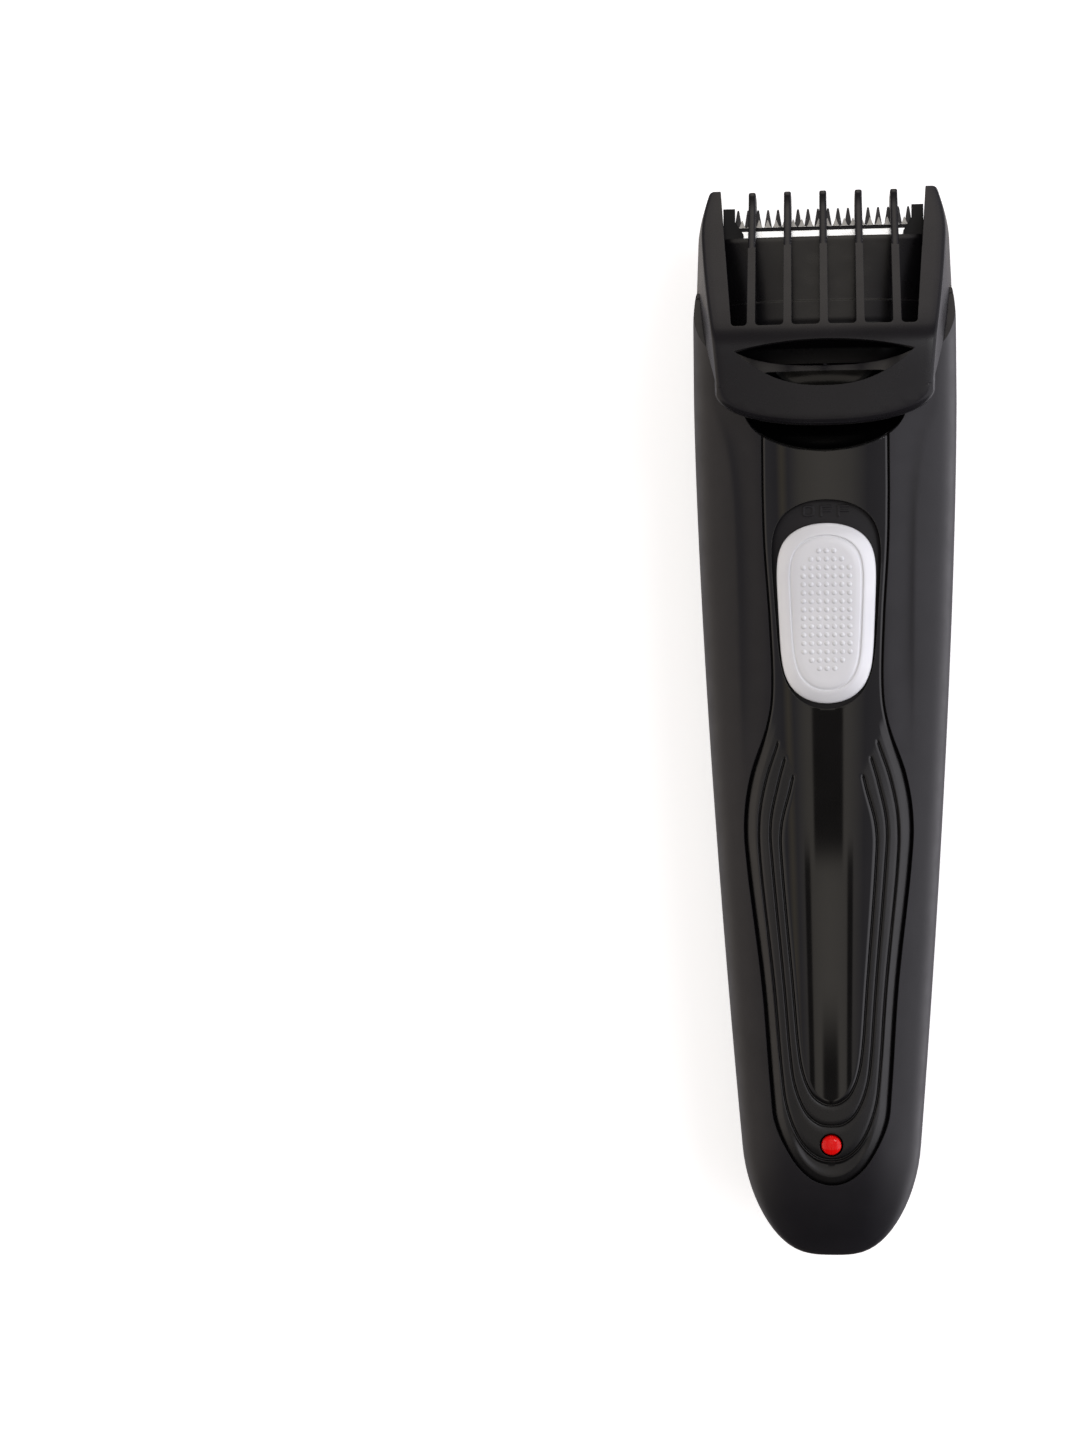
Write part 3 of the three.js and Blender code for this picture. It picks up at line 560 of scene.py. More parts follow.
def pocket_gap(y):
    """The gap round the panel: GAP, with a groove from the hip down, and less round the foot."""
    above_foot = smooth_step((y - FOOT_CURVE_Y) / FOOT_CURVE_LENGTH)
    groove = EDGE_GROOVE * smooth_step((GROOVE_FADE_Y - y) / GROOVE_FADE_LENGTH) * above_foot
    return GAP * (FOOT_GAP_SHARE + (1 - FOOT_GAP_SHARE) * above_foot) + groove


def pocket_outline():
    """The panel's outline moved outward by the gap round it."""
    side = rail(PANEL_EDGE, pocket_gap, 160, 4)
    top_x = np.linspace(0, side[0, 0], 14, endpoint=False)
    top = stack(top_x, panel_top_y(top_x) + GAP)
    side[0, 1] += GAP
    return mirrored(np.vstack([top, side]))


RECESS_Y, RECESS_HALF_LENGTH, RECESS_HALF_WIDTH, RECESS_SLOPE = 17.25, 15.65, 7.75, 0.07
BUTTON_Y = (button_low.y + button_high.y) / 2
BUTTON_HALF_LENGTH = (button_high.y - button_low.y) / 2
BUTTON_HALF_WIDTH, BUTTON_SLOPE = 7.2, 0.045
OVAL_SIDE_POWER, OVAL_END_POWER = 5, 2


def tapered_oval(centre_y, half_length, half_width, slope, grow=0.0, count=160):
    """An oval that is wider towards the blades, for the switch and its recess."""
    across, along = superellipse(full_turn(count), OVAL_END_POWER, OVAL_SIDE_POWER)
    offset = along * (half_length + grow)
    return stack(across * (half_width + slope * offset + grow), centre_y + offset)


# ---------- casing ----------

CASE_SCREWS = [-70.5, -2]
LED_Y = (lens_low.y + lens_high.y) / 2
LED_RADIUS = (lens_high.x - lens_low.x) / 2
PORT_HALF_WIDTH, PORT_HALF_HEIGHT = 3.95, 1.5
PILLAR_RADIUS, SCREW_HOLE_RADIUS, SCREW_HEAD_HOLE_RADIUS, SCREW_HEAD_DEPTH = 3.4, 1.5, 2.9, 2.6
STEM_HALF_WIDTH, STEM_LOW_Y, STEM_HIGH_Y = 2.2, 12, 22.2
# Heights and half widths outside the clipper, for tools that cut right through it.
FAR, OUTSIDE_Z, BELOW_Z, OUTSIDE_X, OUTSIDE_Y = 60, 40, -10, 40, 100


def handle_form(inset=0.0, end_y=72.0, spacing=1.6, count=144, creased=False):
    """The handle's form made smaller all round by the inset, from the foot to end_y."""
    foot_y = FOOT_Y + max(inset, 0)
    bend = HEIGHT_ROUNDING_Y
    foot = bend + (foot_y - bend) * np.sin(np.linspace(math.pi / 2, 0, 20))
    shaft = np.linspace(bend, end_y, int((end_y - bend) / spacing) + 1)[1:]
    angles = full_turn(count)
    across, up = superellipse(angles, ROUNDNESS, ROUNDNESS)
    front = np.sin(angles) > 1e-9
    rings = []
    for y in np.concatenate([foot, shaft]):
        x = (handle_half_width(y) - inset) * across
        top = handle_front_z(y) - inset - SPLIT_Z
        bottom = handle_back_z(y) + inset - SPLIT_Z
        z = SPLIT_Z + np.where(front, top, bottom) * np.abs(up)
        if creased:
            z = z - np.where(front, crease_relief(x, y), 0)
        rings.append(stack(x, y, z))
    return ring_loft("form", rings)


def beyond_mouth(shift=0.0):
    """Everything towards the blades from the shells' mouth, moved forward by the shift."""
    total = MOUTH_SUM + shift
    outline = [(MOUTH_Y + shift, BELOW_Z), (120, BELOW_Z), (120, FAR), (total - FAR, FAR),
               (total - SPLIT_Z + 1, SPLIT_Z - 1)]
    return prism(outline, -OUTSIDE_X, OUTSIDE_X, "X")


def layer(low_z, high_z):
    """A block over the whole clipper between two heights."""
    return middle_block(OUTSIDE_X, -OUTSIDE_Y, OUTSIDE_Y, low_z, high_z)


def hollow():
    return handle_form(WALL, 74, 3, 72)


def light_hole():
    return rod(LED_RADIUS + GAP, 0, LED_Y, SPLIT_Z, OUTSIDE_Z)


def port_hole(low_z, high_z):
    return middle_block(PORT_HALF_WIDTH, FOOT_Y - 2, FOOT_Y + 6, low_z, high_z)


SCOOP_DEPTH = 1.6
LETTER_Y, LETTER_HEIGHT, LETTER_WIDTH, LETTER_PITCH, LETTER_RISE = 31.3, 1.7, 1.75, 2.6, 0.18


def finger_scoop():
    """A bowl below the front surface, to cut the scoop just under the comb's plate."""
    turns = full_turn(120)
    x, y = SCOOP_ARC_HALF_WIDTH * np.cos(turns), SCOOP_ARC_DEPTH * np.sin(turns)
    rings = [stack(x, y + SCOOP_Y, OUTSIDE_Z)]
    for share in np.sin(np.linspace(math.pi / 2, 0.03, 22)):
        depth = SCOOP_DEPTH * math.sqrt(max(0, 1 - share**2))
        z = front_surface_z(x * share, y * share + SCOOP_Y) - depth
        rings.append(stack(x * share, y * share + SCOOP_Y, z))
    return ring_loft("scoop", rings)


def in_scoop(place):
    share = math.hypot(place.x / SCOOP_ARC_HALF_WIDTH, (place.y - SCOOP_Y) / SCOOP_ARC_DEPTH)
    depth = float(front_surface_z(place.x, place.y)) - place.z
    return share < 0.999 and 0.01 < depth < SCOOP_DEPTH + 0.1


def off_letters():
    """The raised word OFF on the floor of the switch recess."""
    floor_z = float(front_surface_z(0, LETTER_Y)) - POCKET_DEPTH
    low, high = floor_z - 0.5, floor_z + LETTER_RISE
    stroke, half_x, half_y = 0.32, LETTER_WIDTH / 2, LETTER_HEIGHT / 2
    x = -LETTER_PITCH
    outer = tapered_oval(LETTER_Y, half_y, half_x, 0, 0, 40) + [x, 0]
    inner = tapered_oval(LETTER_Y, half_y, half_x, 0, -stroke, 40) + [x, 0]
    letters = [cut(prism(outer, low, high), prism(inner, low - 1, high + 1))]
    for x in (0, LETTER_PITCH):
        stem = block(x - half_x, x - half_x + stroke, LETTER_Y - half_y, LETTER_Y + half_y, low, high)
        bars = [block(x - half_x, x + half_x, y, y + stroke, low, high)
                for y in (LETTER_Y - stroke / 2, LETTER_Y + half_y - stroke)]
        letters.append(join(stem, *bars))
    return letters


def screw_back_z(y):
    return max(float(handle_back_z(y)), 0.0)


def rear_casing():
    shell = cut(handle_form(spacing=2.2), layer(BELOW_Z, 0), hollow(),
                layer(SPLIT_Z - GAP / 2, FAR), beyond_mouth())
    for y in CASE_SCREWS:
        back_z = screw_back_z(y)
        join(shell, rod(PILLAR_RADIUS, 0, y, back_z + 1, SPLIT_Z - GAP / 2))
        cut(shell, rod(SCREW_HOLE_RADIUS, 0, y, -2, SPLIT_Z),
            rod(SCREW_HEAD_HOLE_RADIUS, 0, y, -2, back_z + SCREW_HEAD_DEPTH))
    cut(shell, port_hole(SPLIT_Z - PORT_HALF_HEIGHT, SPLIT_Z + 2))
    return settle(shell, "casing_rear", "housing", CASING, ["rear_shell"])


def front_casing():
    shell = cut(handle_form(creased=True, spacing=1.2, count=220), hollow(),
                layer(BELOW_Z, SPLIT_Z + GAP / 2), beyond_mouth())
    pocket = cut(prism(pocket_outline(), SPLIT_Z, OUTSIDE_Z), handle_form(POCKET_DEPTH))
    cut(shell, pocket, finger_scoop(), light_hole())
    cut(shell, middle_block(STEM_HALF_WIDTH, STEM_LOW_Y, STEM_HIGH_Y, 24, OUTSIDE_Z))
    cut(shell, port_hole(SPLIT_Z - 2, SPLIT_Z + PORT_HALF_HEIGHT))
    join(shell, *off_letters())
    # The scoop is polished, and its colour is painted near black as the shade under the comb's plate.
    mark_faces(shell, "polish", in_scoop)
    return settle(shell, "casing_front", "housing", CASING, ["front_shell"])


# ---------- front panel ----------

# A profile gives offsets from a line (inward is negative) and the share of the depth at each.
GROOVE_DEPTH = 0.4
GROOVE_PROFILE = [(-0.34, 0), (-0.2, 0.25), (-0.08, 1), (0.08, 1), (0.16, 0.3), (0.3, 0)]
EDGE_CHAMFER, EDGE_LIP = 0.42, 0.12
EDGE_PROFILE = [(-1.25, 0), (-1.1, 0.1), (-0.8, 0.36), (-0.4, 0.75), (-0.15, 1.0), (0, 1.3)]
CHAMFER_FADE_Y, CHAMFER_FADE_LENGTH = 1, 7
FOOT_STEP, FOOT_STEP_SHARES = 0.5, [1, 0.85, 0.6, 0.25]
FOOT_STEP_Y, FOOT_STEP_X, FOOT_STEP_FADE = -60, 6.5, 3


def panel_rails():
    """The panel's grid lines from the middle outward: points, relief and polish on each."""
    rails = []

    def add(points, relief, polish):
        rails.append((points, relief * np.ones(len(points)), polish * np.ones(len(points))))

    def fill(end, count, polish):
        start = rails[-1][0]
        for i in range(1, count):
            add(start + (end - start) * i / count, 0, polish)

    add(rail(CENTRE_LINE), 0, 1)
    for groove, start_y in zip((INNER_GROOVE, MIDDLE_GROOVE, OUTER_GROOVE), GROOVE_START_Y[::-1]):
        innermost = groove is INNER_GROOVE
        fill(rail(groove, GROOVE_PROFILE[0][0]), 14 if innermost else 4, int(innermost))
        for offset, depth in GROOVE_PROFILE:
            line = rail(groove, offset)
            fade = smooth_step((start_y - line[:, 1]) / 0.5)
            add(line, -GROOVE_DEPTH * depth * fade, int(innermost and offset < 0))
    inner_edge = rail(PANEL_EDGE, EDGE_PROFILE[0][0])
    start = rails[-1][0]
    foot = smooth_step((FOOT_STEP_X - np.abs(inner_edge[:, 0])) / FOOT_STEP_FADE)
    foot = foot * (inner_edge[:, 1] < FOOT_STEP_Y)
    for i, depth in enumerate(FOOT_STEP_SHARES, 1):
        add(start + (inner_edge - start) * i / (len(FOOT_STEP_SHARES) + 1), -FOOT_STEP * foot * depth, 0)
    chamfer = smooth_step((CHAMFER_FADE_Y - rail(PANEL_EDGE)[:, 1]) / CHAMFER_FADE_LENGTH)
    for offset, depth in EDGE_PROFILE:
        lip = EDGE_LIP if offset == 0 else 0
        add(rail(PANEL_EDGE, offset), -(EDGE_CHAMFER * depth * chamfer + lip * (1 - chamfer)), 0)
    return rails


def band_polish(points, polish):
    """The band above the grooves is polished too."""
    line_y = GROOVE_START_Y[2] + 2.1 * (np.abs(points[:, 0]) - 5.2)
    return np.maximum(polish, smooth_step((points[:, 1] - line_y + 0.8) / 2.6))


def gloss_panel():
    rails = panel_rails()
    rows = len(rails[0][0])
    half = []
    for points, relief, polish in rails:
        x, y = points[:, 0], points[:, 1]
        z = front_surface_z(x, y) - crease_relief(x, y) + relief
        under = front_surface_z(x, y) - PANEL_DEPTH
        z = np.maximum(z, under + 0.02)
        half.append(stack(x, y, z, under, band_polish(points, polish)))
    half = np.array(half)
    left = half[:0:-1].copy()
    left[:, :, 0] *= -1
    grid = np.vstack([left, half])
    columns = len(grid)
    top = grid[:, :, [0, 1, 2]].reshape(-1, 3)
    under = grid[:, :, [0, 1, 3]].reshape(-1, 3)
    count = columns * rows
    faces = grid_faces(columns, rows, False)
    faces += [tuple(count + v for v in face[::-1]) for face in faces]
    for i in range(columns - 1):
        a, b = i * rows, (i + 1) * rows
        faces.append((a, b, count + b, count + a))
    for j in range(rows - 1):
        a, b = j, j + 1
        faces.append((a, count + a, count + b, b))
        a, b = (columns - 1) * rows + j, (columns - 1) * rows + j + 1
        faces.append((a, b, count + b, count + a))
    piece = new_piece("panel", np.vstack([top, under]), faces)
    polish = piece.data.attributes.new("polish", "FLOAT", "POINT")
    polish.data.foreach_set("value", np.tile(grid[:, :, 4].ravel(), 2).astype(np.float32))
    face_outward(merge_near(piece, 0.004))
    recess = tapered_oval(RECESS_Y, RECESS_HALF_LENGTH, RECESS_HALF_WIDTH, RECESS_SLOPE)
    cut(piece, prism(recess, SPLIT_Z, OUTSIDE_Z), light_hole())
    return settle(piece, "gloss_panel", "housing", PANEL, ["front_panel"], sharp=50)


# ---------- status lens ----------


def status_lens():
    """A turned red lens with a domed top."""
    top_z = float(handle_front_z(LED_Y)) - 0.2
    stem_radius, stem_top_z = LED_RADIUS - 0.3, lens_low.z + 2.6
    profile = [(stem_radius, lens_low.z), (stem_radius, stem_top_z)]
    profile += [(LED_RADIUS, stem_top_z), (LED_RADIUS, top_z)]
    dome = np.linspace(0, math.pi / 2, 10)[1:-1]
    profile += [(LED_RADIUS * math.cos(a), top_z + (lens_high.z - top_z) * math.sin(a)) for a in dome]
    profile += [(0.1, lens_high.z)]
    rings = [stack(*circle(radius, 0, LED_Y, 40).T, z) for radius, z in profile]
    return settle(ring_loft("lens", rings), "status_lens", "housing", LENS, ["led_lens"])


# ---------- switch ----------

DOT_ROWS = [3, 5] + [7] * 11 + [5, 3]
DOT_TOP_Y, DOT_ROW_PITCH, DOT_COLUMN_PITCH = 25.2, 1.257, 1.14
DOT_RADIUS, DOT_HEIGHT = 0.38, 0.19
PAD_HEIGHT = 0.8
# The button's profile: offset from its edge (inward is negative), and height over the handle.
BUTTON_PROFILE = [
    (0, -0.6), (0, -0.1), (-0.06, 0.08), (-0.22, 0.22), (-0.7, 0.42), (-1.3, 0.66), (-1.62, 0.76),
    (-1.8, 0.76), (-1.9, 0.6), (-2.05, 0.6), (-2.15, 0.72), (-2.35, PAD_HEIGHT), (-3.2, PAD_HEIGHT + 0.01),
    *[(-x, PAD_HEIGHT + 0.02) for x in (4.4, 5.6, 6.6)]]


def dome_points(x, y, base_z):
    """One dot of the pad: a low dome on a short stem, as rings from the bottom up."""
    levels = [(1, -0.3), (1, 0)] + [(math.cos(a), math.sin(a)) for a in np.linspace(0, math.pi / 2, 5)[1:-1]]
    rings = []
    for share, rise in levels:
        height = rise if rise < 0 else rise * DOT_HEIGHT
        rings.append(stack(*circle(DOT_RADIUS * share, x, y, 14).T, base_z + height))
    return rings


def pad_dots():
    """All the pad's dots as one mesh of closed domes."""
    vertices, faces = [], []
    for row, count in enumerate(DOT_ROWS):
        y = DOT_TOP_Y - row * DOT_ROW_PITCH
        for column in range(count):
            x = (column - (count - 1) / 2) * DOT_COLUMN_PITCH
            rings = dome_points(x, y, float(front_surface_z(x, y)) + PAD_HEIGHT)
            start = len(vertices)
            for ring in rings:
                vertices.extend(ring)
            sides = len(rings[0])
            faces += [tuple(start + v for v in face) for face in grid_faces(len(rings), sides, True)]
            for first in (start, len(vertices) - sides):
                faces.append(tuple(range(first, first + sides)))
    return face_outward(new_piece("dots", vertices, faces))


def slide_button():
    """The silver button: a sloped rim, a fine groove and the raised pad with its dots."""
    rings = []
    for grow, height in BUTTON_PROFILE:
        outline = tapered_oval(BUTTON_Y, BUTTON_HALF_LENGTH, BUTTON_HALF_WIDTH, BUTTON_SLOPE, grow, 220)
        z = front_surface_z(outline[:, 0], outline[:, 1]) + height
        rings.append(stack(*outline.T, z))
    piece = combine(ring_loft("button", rings), pad_dots(), "UNION", "EXACT")
    return settle(piece, "slide_button", "switch", SILVER, ["switch_button"], sharp=40)


# ---------- comb ----------

PLATE_Z = comb_high.z
PLATE_END_Y, SLOPE, SLOPE_ROUNDING = 57.5, 0.675, 1.2
COMB_CROWN, COMB_MID_Z, COMB_FLOOR_Z = 0.8, 10.5, comb_low.z
COMB_THICKNESS, COMB_SIDE = 1.5, 1.75
SLOT_Y, RIB_TIP_Y = 59, 81.9
TONGUE_FOOT_Y, TONGUE_CORNER_Y, TONGUE_CORNER_X, TONGUE_POWER = comb_low.y, 49.6, 16.4, 2.2
RIM = 1.1
RIB_COUNT, RIB_PITCH, RIB_WIDTH, RIB_TIP_WIDTH, RIB_DEPTH = 5, 5.44, 1.25, 1.1, 3.1
RIB_START_Y, RIB_NOSE_RUN, RIB_NOSE_RADIUS, RIB_HEEL_RADIUS = 57.6, 1.3, 1.25, 1.6
RIB_TOE_Y, RIB_TOE_TOP_Z = 69.4, 10.2
BLADE_TIP_Y = fixed_high.y
MOUTH_CLEARANCE = 0.55
CREASE_SOFTNESS = 0.6
SLOT_CORNER, SLOT_FAR_Y = 0.6, 90
SIDE_TIP_RADIUS, SIDE_FOOT_RADIUS, SIDE_FOOT_Z, SIDE_FLOOR_Y = 2.2, 2.4, 13, 66


def comb_top_z(y):
    """The comb's front along its middle: level, then a long slope to the tips."""
    run = y - PLATE_END_Y
    return PLATE_Z - SLOPE * (run + np.sqrt(run**2 + SLOPE_ROUNDING**2)) / 2


def comb_half_width(y):
    tip_run = np.maximum(0, (y - 75) / (TIP_Y - 75))
    return SHOULDER_HALF_WIDTH - 0.04 * np.maximum(0, y - 58) - 1.4 * tip_run**1.7


def comb_lean(y):
    """How far each flank leans in for each unit of height."""
    return 0.2 - 0.1 * np.clip((y - 50) / 24, 0, 1)


def crease_place(y, inset=0.0, side_inset=0.0):
    z = comb_top_z(y) - inset - COMB_CROWN
    x = comb_half_width(y) - side_inset - comb_lean(y) * (z - COMB_MID_Z)
    return x, z


def comb_section(y, inset, side_inset, floor_z):
    """A section with a crowned front, slightly rounded creases and leaning flanks."""
    crease_x, crease_z = crease_place(y, inset, side_inset)
    flat_x = np.linspace(0, crease_x - CREASE_SOFTNESS, 20)
    front = stack(flat_x, crease_z + COMB_CROWN * (1 - (flat_x / crease_x) ** 2))
    corner = np.array([crease_x, crease_z])
    below = corner + [comb_lean(y) * CREASE_SOFTNESS, -CREASE_SOFTNESS]
    turn = np.linspace(0, 1, 6)[1:, None]
    bend = (1 - turn) ** 2 * front[-1] + 2 * turn * (1 - turn) * corner + turn**2 * below
    side = comb_half_width(y) - side_inset
    flank = np.linspace(below, (side, COMB_MID_Z), 8)[1:]
    right = np.vstack([front, bend, flank, [(side, floor_z)]])
    section = mirrored(right)
    return stack(section[:, 0], y, section[:, 1])


def comb_form(inset, side_inset, floor_z, end_y):
    start_y, spacing = 40, 0.9
    stations = np.linspace(start_y, end_y, int((end_y - start_y) / spacing))
    return ring_loft("comb_form", [comb_section(y, inset, side_inset, floor_z) for y in stations])


def comb_front_z(x, y):
    crease_x, crease_z = crease_place(y)
    return crease_z + COMB_CROWN * (1 - np.minimum(np.abs(x) / crease_x, 1) ** 2)


def tongue_edge(grow):
    down, across = superellipse(np.linspace(-math.pi / 2, math.pi / 2, 97), TONGUE_POWER, TONGUE_POWER)
    depth = TONGUE_CORNER_Y - TONGUE_FOOT_Y + grow
    return stack((TONGUE_CORNER_X + grow) * across, TONGUE_CORNER_Y - depth * down)


def tongue():
    """The plate's tongue over the handle's front, its rim rounded off towards the front."""
    rings = []
    under_z, end_y = 29.6, 62
    turn = np.linspace(0, math.pi / 2, 7)
    levels = [(0, None)] + [(-RIM * (1 - math.cos(a)), RIM * (1 - math.sin(a))) for a in turn] + [(-RIM, -4)]
    for grow, drop in levels:
        edge = tongue_edge(grow)
        outline = np.vstack([edge, [(edge[-1, 0], end_y), (edge[0, 0], end_y)]])
        z = np.full(len(outline), under_z)
        if drop is not None:
            z = comb_front_z(outline[:, 0], outline[:, 1]) - drop
        rings.append(stack(*outline.T, z))
    return ring_loft("tongue", rings)


OPENING_HALF_WIDTH, OPENING_TOP_Y, OPENING_TOP_DROP = 13.35, 56.7, 1.6
OPENING_FOOT_Y, OPENING_FOOT_RISE, OPENING_FOOT_POWER = 49.7, 5.4, 2.4


def finger_opening():
    """The opening for a finger: two arcs that meet in pointed corners."""
    x = np.linspace(-1, 1, 49)
    top = stack(x[::-1] * OPENING_HALF_WIDTH, OPENING_TOP_Y - OPENING_TOP_DROP * x[::-1] ** 2)
    foot_y = OPENING_FOOT_Y + OPENING_FOOT_RISE * np.abs(x) ** OPENING_FOOT_POWER
    foot = stack(x * OPENING_HALF_WIDTH, foot_y)
    return prism(np.vstack([top, foot[1:-1]]), 20, OUTSIDE_Z)


def slot_edge(y):
    """Half the width over all the slots, which flare towards the tips."""
    return 13.9 + (y - SLOT_Y) * 1.9 / (TIP_Y - SLOT_Y)


def rib_half_width(y):
    return (RIB_WIDTH + (RIB_TIP_WIDTH - RIB_WIDTH) * np.clip((y - SLOT_Y) / (RIB_TIP_Y - SLOT_Y), 0, 1)) / 2


def rib_x(i):
    return (i - (RIB_COUNT - 1) / 2) * RIB_PITCH


def slot_sides(i, y):
    low = rib_x(i - 1) + rib_half_width(y) if i else -slot_edge(y)
    high = rib_x(i) - rib_half_width(y) if i < RIB_COUNT else slot_edge(y)
    return low, high


def slot(i):
    """The gap between rib i - 1 and rib i, with rounded corners at its foot."""
    (low, high), (far_low, far_high) = slot_sides(i, SLOT_Y), slot_sides(i, SLOT_FAR_Y)
    turn = np.linspace(0, math.pi / 2, 6)
    inward, y = SLOT_CORNER * (1 - np.sin(turn)), SLOT_Y + SLOT_CORNER * (1 - np.cos(turn))
    left, right = stack(low + inward, y), stack(high - inward, y)
    outline = np.vstack([right, [(far_high, SLOT_FAR_Y), (far_low, SLOT_FAR_Y)], left[::-1]])
    return prism(outline[::-1], -5, OUTSIDE_Z)


def arc(centre, radius, start, end, count=6):
    angles = np.radians(np.linspace(start, end, count))
    return [(centre[0] + radius * math.cos(a), centre[1] + radius * math.sin(a)) for a in angles]


def rib_back_z(y):
    return float(comb_top_z(y)) - RIB_DEPTH


def comb_rib(centre_x):
    """A rib runs down the slope, round the blades' tips and back under them."""
    nose_y, toe_radius = RIB_TIP_Y - RIB_NOSE_RUN, (RIB_TOE_TOP_Z - COMB_FLOOR_Z) / 2
    front = [(y, float(comb_front_z(centre_x, y)) - 0.04) for y in np.linspace(RIB_START_Y, nose_y, 14)]
    nose = arc((nose_y, front[-1][1] - RIB_NOSE_RADIUS), RIB_NOSE_RADIUS, 75, 0, 6)
    heel = arc((RIB_TIP_Y - RIB_HEEL_RADIUS, COMB_FLOOR_Z + RIB_HEEL_RADIUS), RIB_HEEL_RADIUS, 0, -90, 7)
    toe = arc((RIB_TOE_Y, COMB_FLOOR_Z + toe_radius), toe_radius, 270, 90, 7)
    gap_y = BLADE_TIP_Y + 0.5
    back = [(BLADE_TIP_Y, RIB_TOE_TOP_Z), (gap_y, RIB_TOE_TOP_Z + 0.6), (gap_y, rib_back_z(gap_y) - 0.2),
            (RIB_START_Y, rib_back_z(RIB_START_Y))]
    piece = prism(front + nose + heel + toe + back, centre_x - 0.5, centre_x + 0.5, "X")
    for vertex in piece.data.vertices:
        side = 1 if vertex.co.x > centre_x else -1
        vertex.co.x = centre_x + side * float(rib_half_width(vertex.co.y))
    return bevel(piece, 0.28, 3, 50)


def comb_sides():
    """Everything that the side plates keep, with rounded tips and a rising floor."""
    tip = float(comb_top_z(TIP_Y)) - COMB_CROWN
    top = arc((TIP_Y - SIDE_TIP_RADIUS, tip + 0.5), SIDE_TIP_RADIUS, 90, 10, 8)
    foot = arc((TIP_Y - SIDE_FOOT_RADIUS, SIDE_FOOT_Z), SIDE_FOOT_RADIUS, 0, -90, 8)
    outline = [(30, FAR), (TIP_Y - SIDE_TIP_RADIUS, FAR)] + top[1:] + foot
    outline += [(SIDE_FLOOR_Y, COMB_FLOOR_Z), (30, COMB_FLOOR_Z)]
    return prism(outline, -OUTSIDE_X, OUTSIDE_X, "X")


def comb_corners():
    """Everything inside the side tips' rounded outer corners, seen from the front."""
    radius = 1.0
    tip_x = float(comb_half_width(TIP_Y)) - 0.1
    right = [(30, 30), (30, TIP_Y - radius - 6)] + arc((tip_x - radius, TIP_Y - radius), radius, 20, 90, 8)
    return prism(right + [(-x, y) for x, y in right[::-1]], -10, 60)


def length_comb():
    comb = cut(comb_form(0, 0, 4, TIP_Y), comb_form(COMB_THICKNESS, COMB_SIDE, -6, TIP_Y + 1))
    keep(comb, join(beyond_mouth(MOUTH_CLEARANCE), tongue()))
    keep(comb, comb_sides())
    keep(comb, comb_corners())
    near_x, far_x = slot_edge(SLOT_Y), slot_edge(SLOT_FAR_Y)
    behind = [(-near_x, SLOT_Y), (near_x, SLOT_Y), (far_x, SLOT_FAR_Y), (-far_x, SLOT_FAR_Y)]
    cut(comb, finger_opening(), prism(behind, -5, 22), *[slot(i) for i in range(RIB_COUNT + 1)])
    join(comb, *[comb_rib(rib_x(i)) for i in range(RIB_COUNT)])
    return settle(comb, "length_comb", "comb", COMB_PLASTIC, ["comb_guard"])


# ---------- cutting head ----------

HEAD_BACK_Y, HEAD_FACE_Y = head_low.y, 74.7
HEAD_HALF_WIDTH, HEAD_BACK_HALF_WIDTH = 15.4, 17.3
HEAD_FLOOR_Z, HEAD_TOP_Z, HEAD_WALL = 12.6, head_high.z, 1.5
HEAD_SHOULDER_Y, HEAD_BACK_TOP_Z = 57, 20.5
STEP_Y, STEP_HEIGHT, STEP_RUN = 63.4, 0.45, 0.35
BROW_Y, BROW_DROP = 73.9, 0.35
BLADE_Z, BLADE_TOP_Z = fixed_low.z, fixed_high.z
CUTTER_Z, CUTTER_TOP_Z = moving_low.z, moving_high.z
BLADE_SCREWS_X, BLADE_SCREW_Y = 8.16, 69.6
GUARD_TOP_Z = 15.1


def head_ring(y, inset, floor_z, count):
    run = max(0, (y - HEAD_SHOULDER_Y) / (HEAD_FACE_Y - HEAD_SHOULDER_Y))
    half = HEAD_BACK_HALF_WIDTH - (HEAD_BACK_HALF_WIDTH - HEAD_HALF_WIDTH) * run
    back_rise = float(smooth_step((y - HEAD_SHOULDER_Y) / 1.4))
    top_z = min(HEAD_TOP_Z, PLATE_Z - SLOPE * max(0, y - PLATE_END_Y) - RIB_DEPTH - 0.6) - inset
    top_z -= (HEAD_TOP_Z - HEAD_BACK_TOP_Z) * (1 - back_rise)
    angles = full_turn(count)
    across, up = superellipse(angles, ROUNDNESS, ROUNDNESS)
    if inset == 0:
        step = STEP_HEIGHT * float(smooth_step((y - STEP_Y) / STEP_RUN))
        top_z -= step + BROW_DROP * float(smooth_step((y - BROW_Y) / (HEAD_FACE_Y - BROW_Y)))
    z = SPLIT_Z + (np.where(np.sin(angles) > 0, top_z, floor_z) - SPLIT_Z) * np.abs(up)
    return stack((half - inset) * across, y, z)


def head_form(inset, floor_z, end_y, count=120):
    stations = np.unique(np.concatenate([
        np.linspace(HEAD_BACK_Y - inset, end_y, 36),
        [y for y in np.linspace(STEP_Y - 0.1, STEP_Y + 0.45, 7) if y < end_y],
        [y for y in np.linspace(73.8, HEAD_FACE_Y, 6) if y < end_y],
    ]))
    return ring_loft("head_form", [head_ring(y, inset, floor_z, count) for y in stations])


def side_guard(side):
    """The stepped guard beside the blades."""
    back_y = HEAD_FACE_Y - 1
    outline = [(back_y, BLADE_Z), (79.2, BLADE_Z), (79.6, BLADE_Z + 0.4), (79.6, 12.6), (78.4, 13.9),
               (76.9, 14.1), (76.6, 14.9), (back_y, GUARD_TOP_Z)]
    wall = prism(outline, *sorted([side * HEAD_HALF_WIDTH, side * 14.7]), "X")
    ledge = np.array([(HEAD_HALF_WIDTH, back_y), (HEAD_HALF_WIDTH, 79.4), (13.6, 79.4), (13.6, 77.4),
                      (12.3, 75.4), (12.3, back_y)]) * [side, 1]
    return join(wall, prism(ledge, CUTTER_TOP_Z + 0.4, GUARD_TOP_Z))


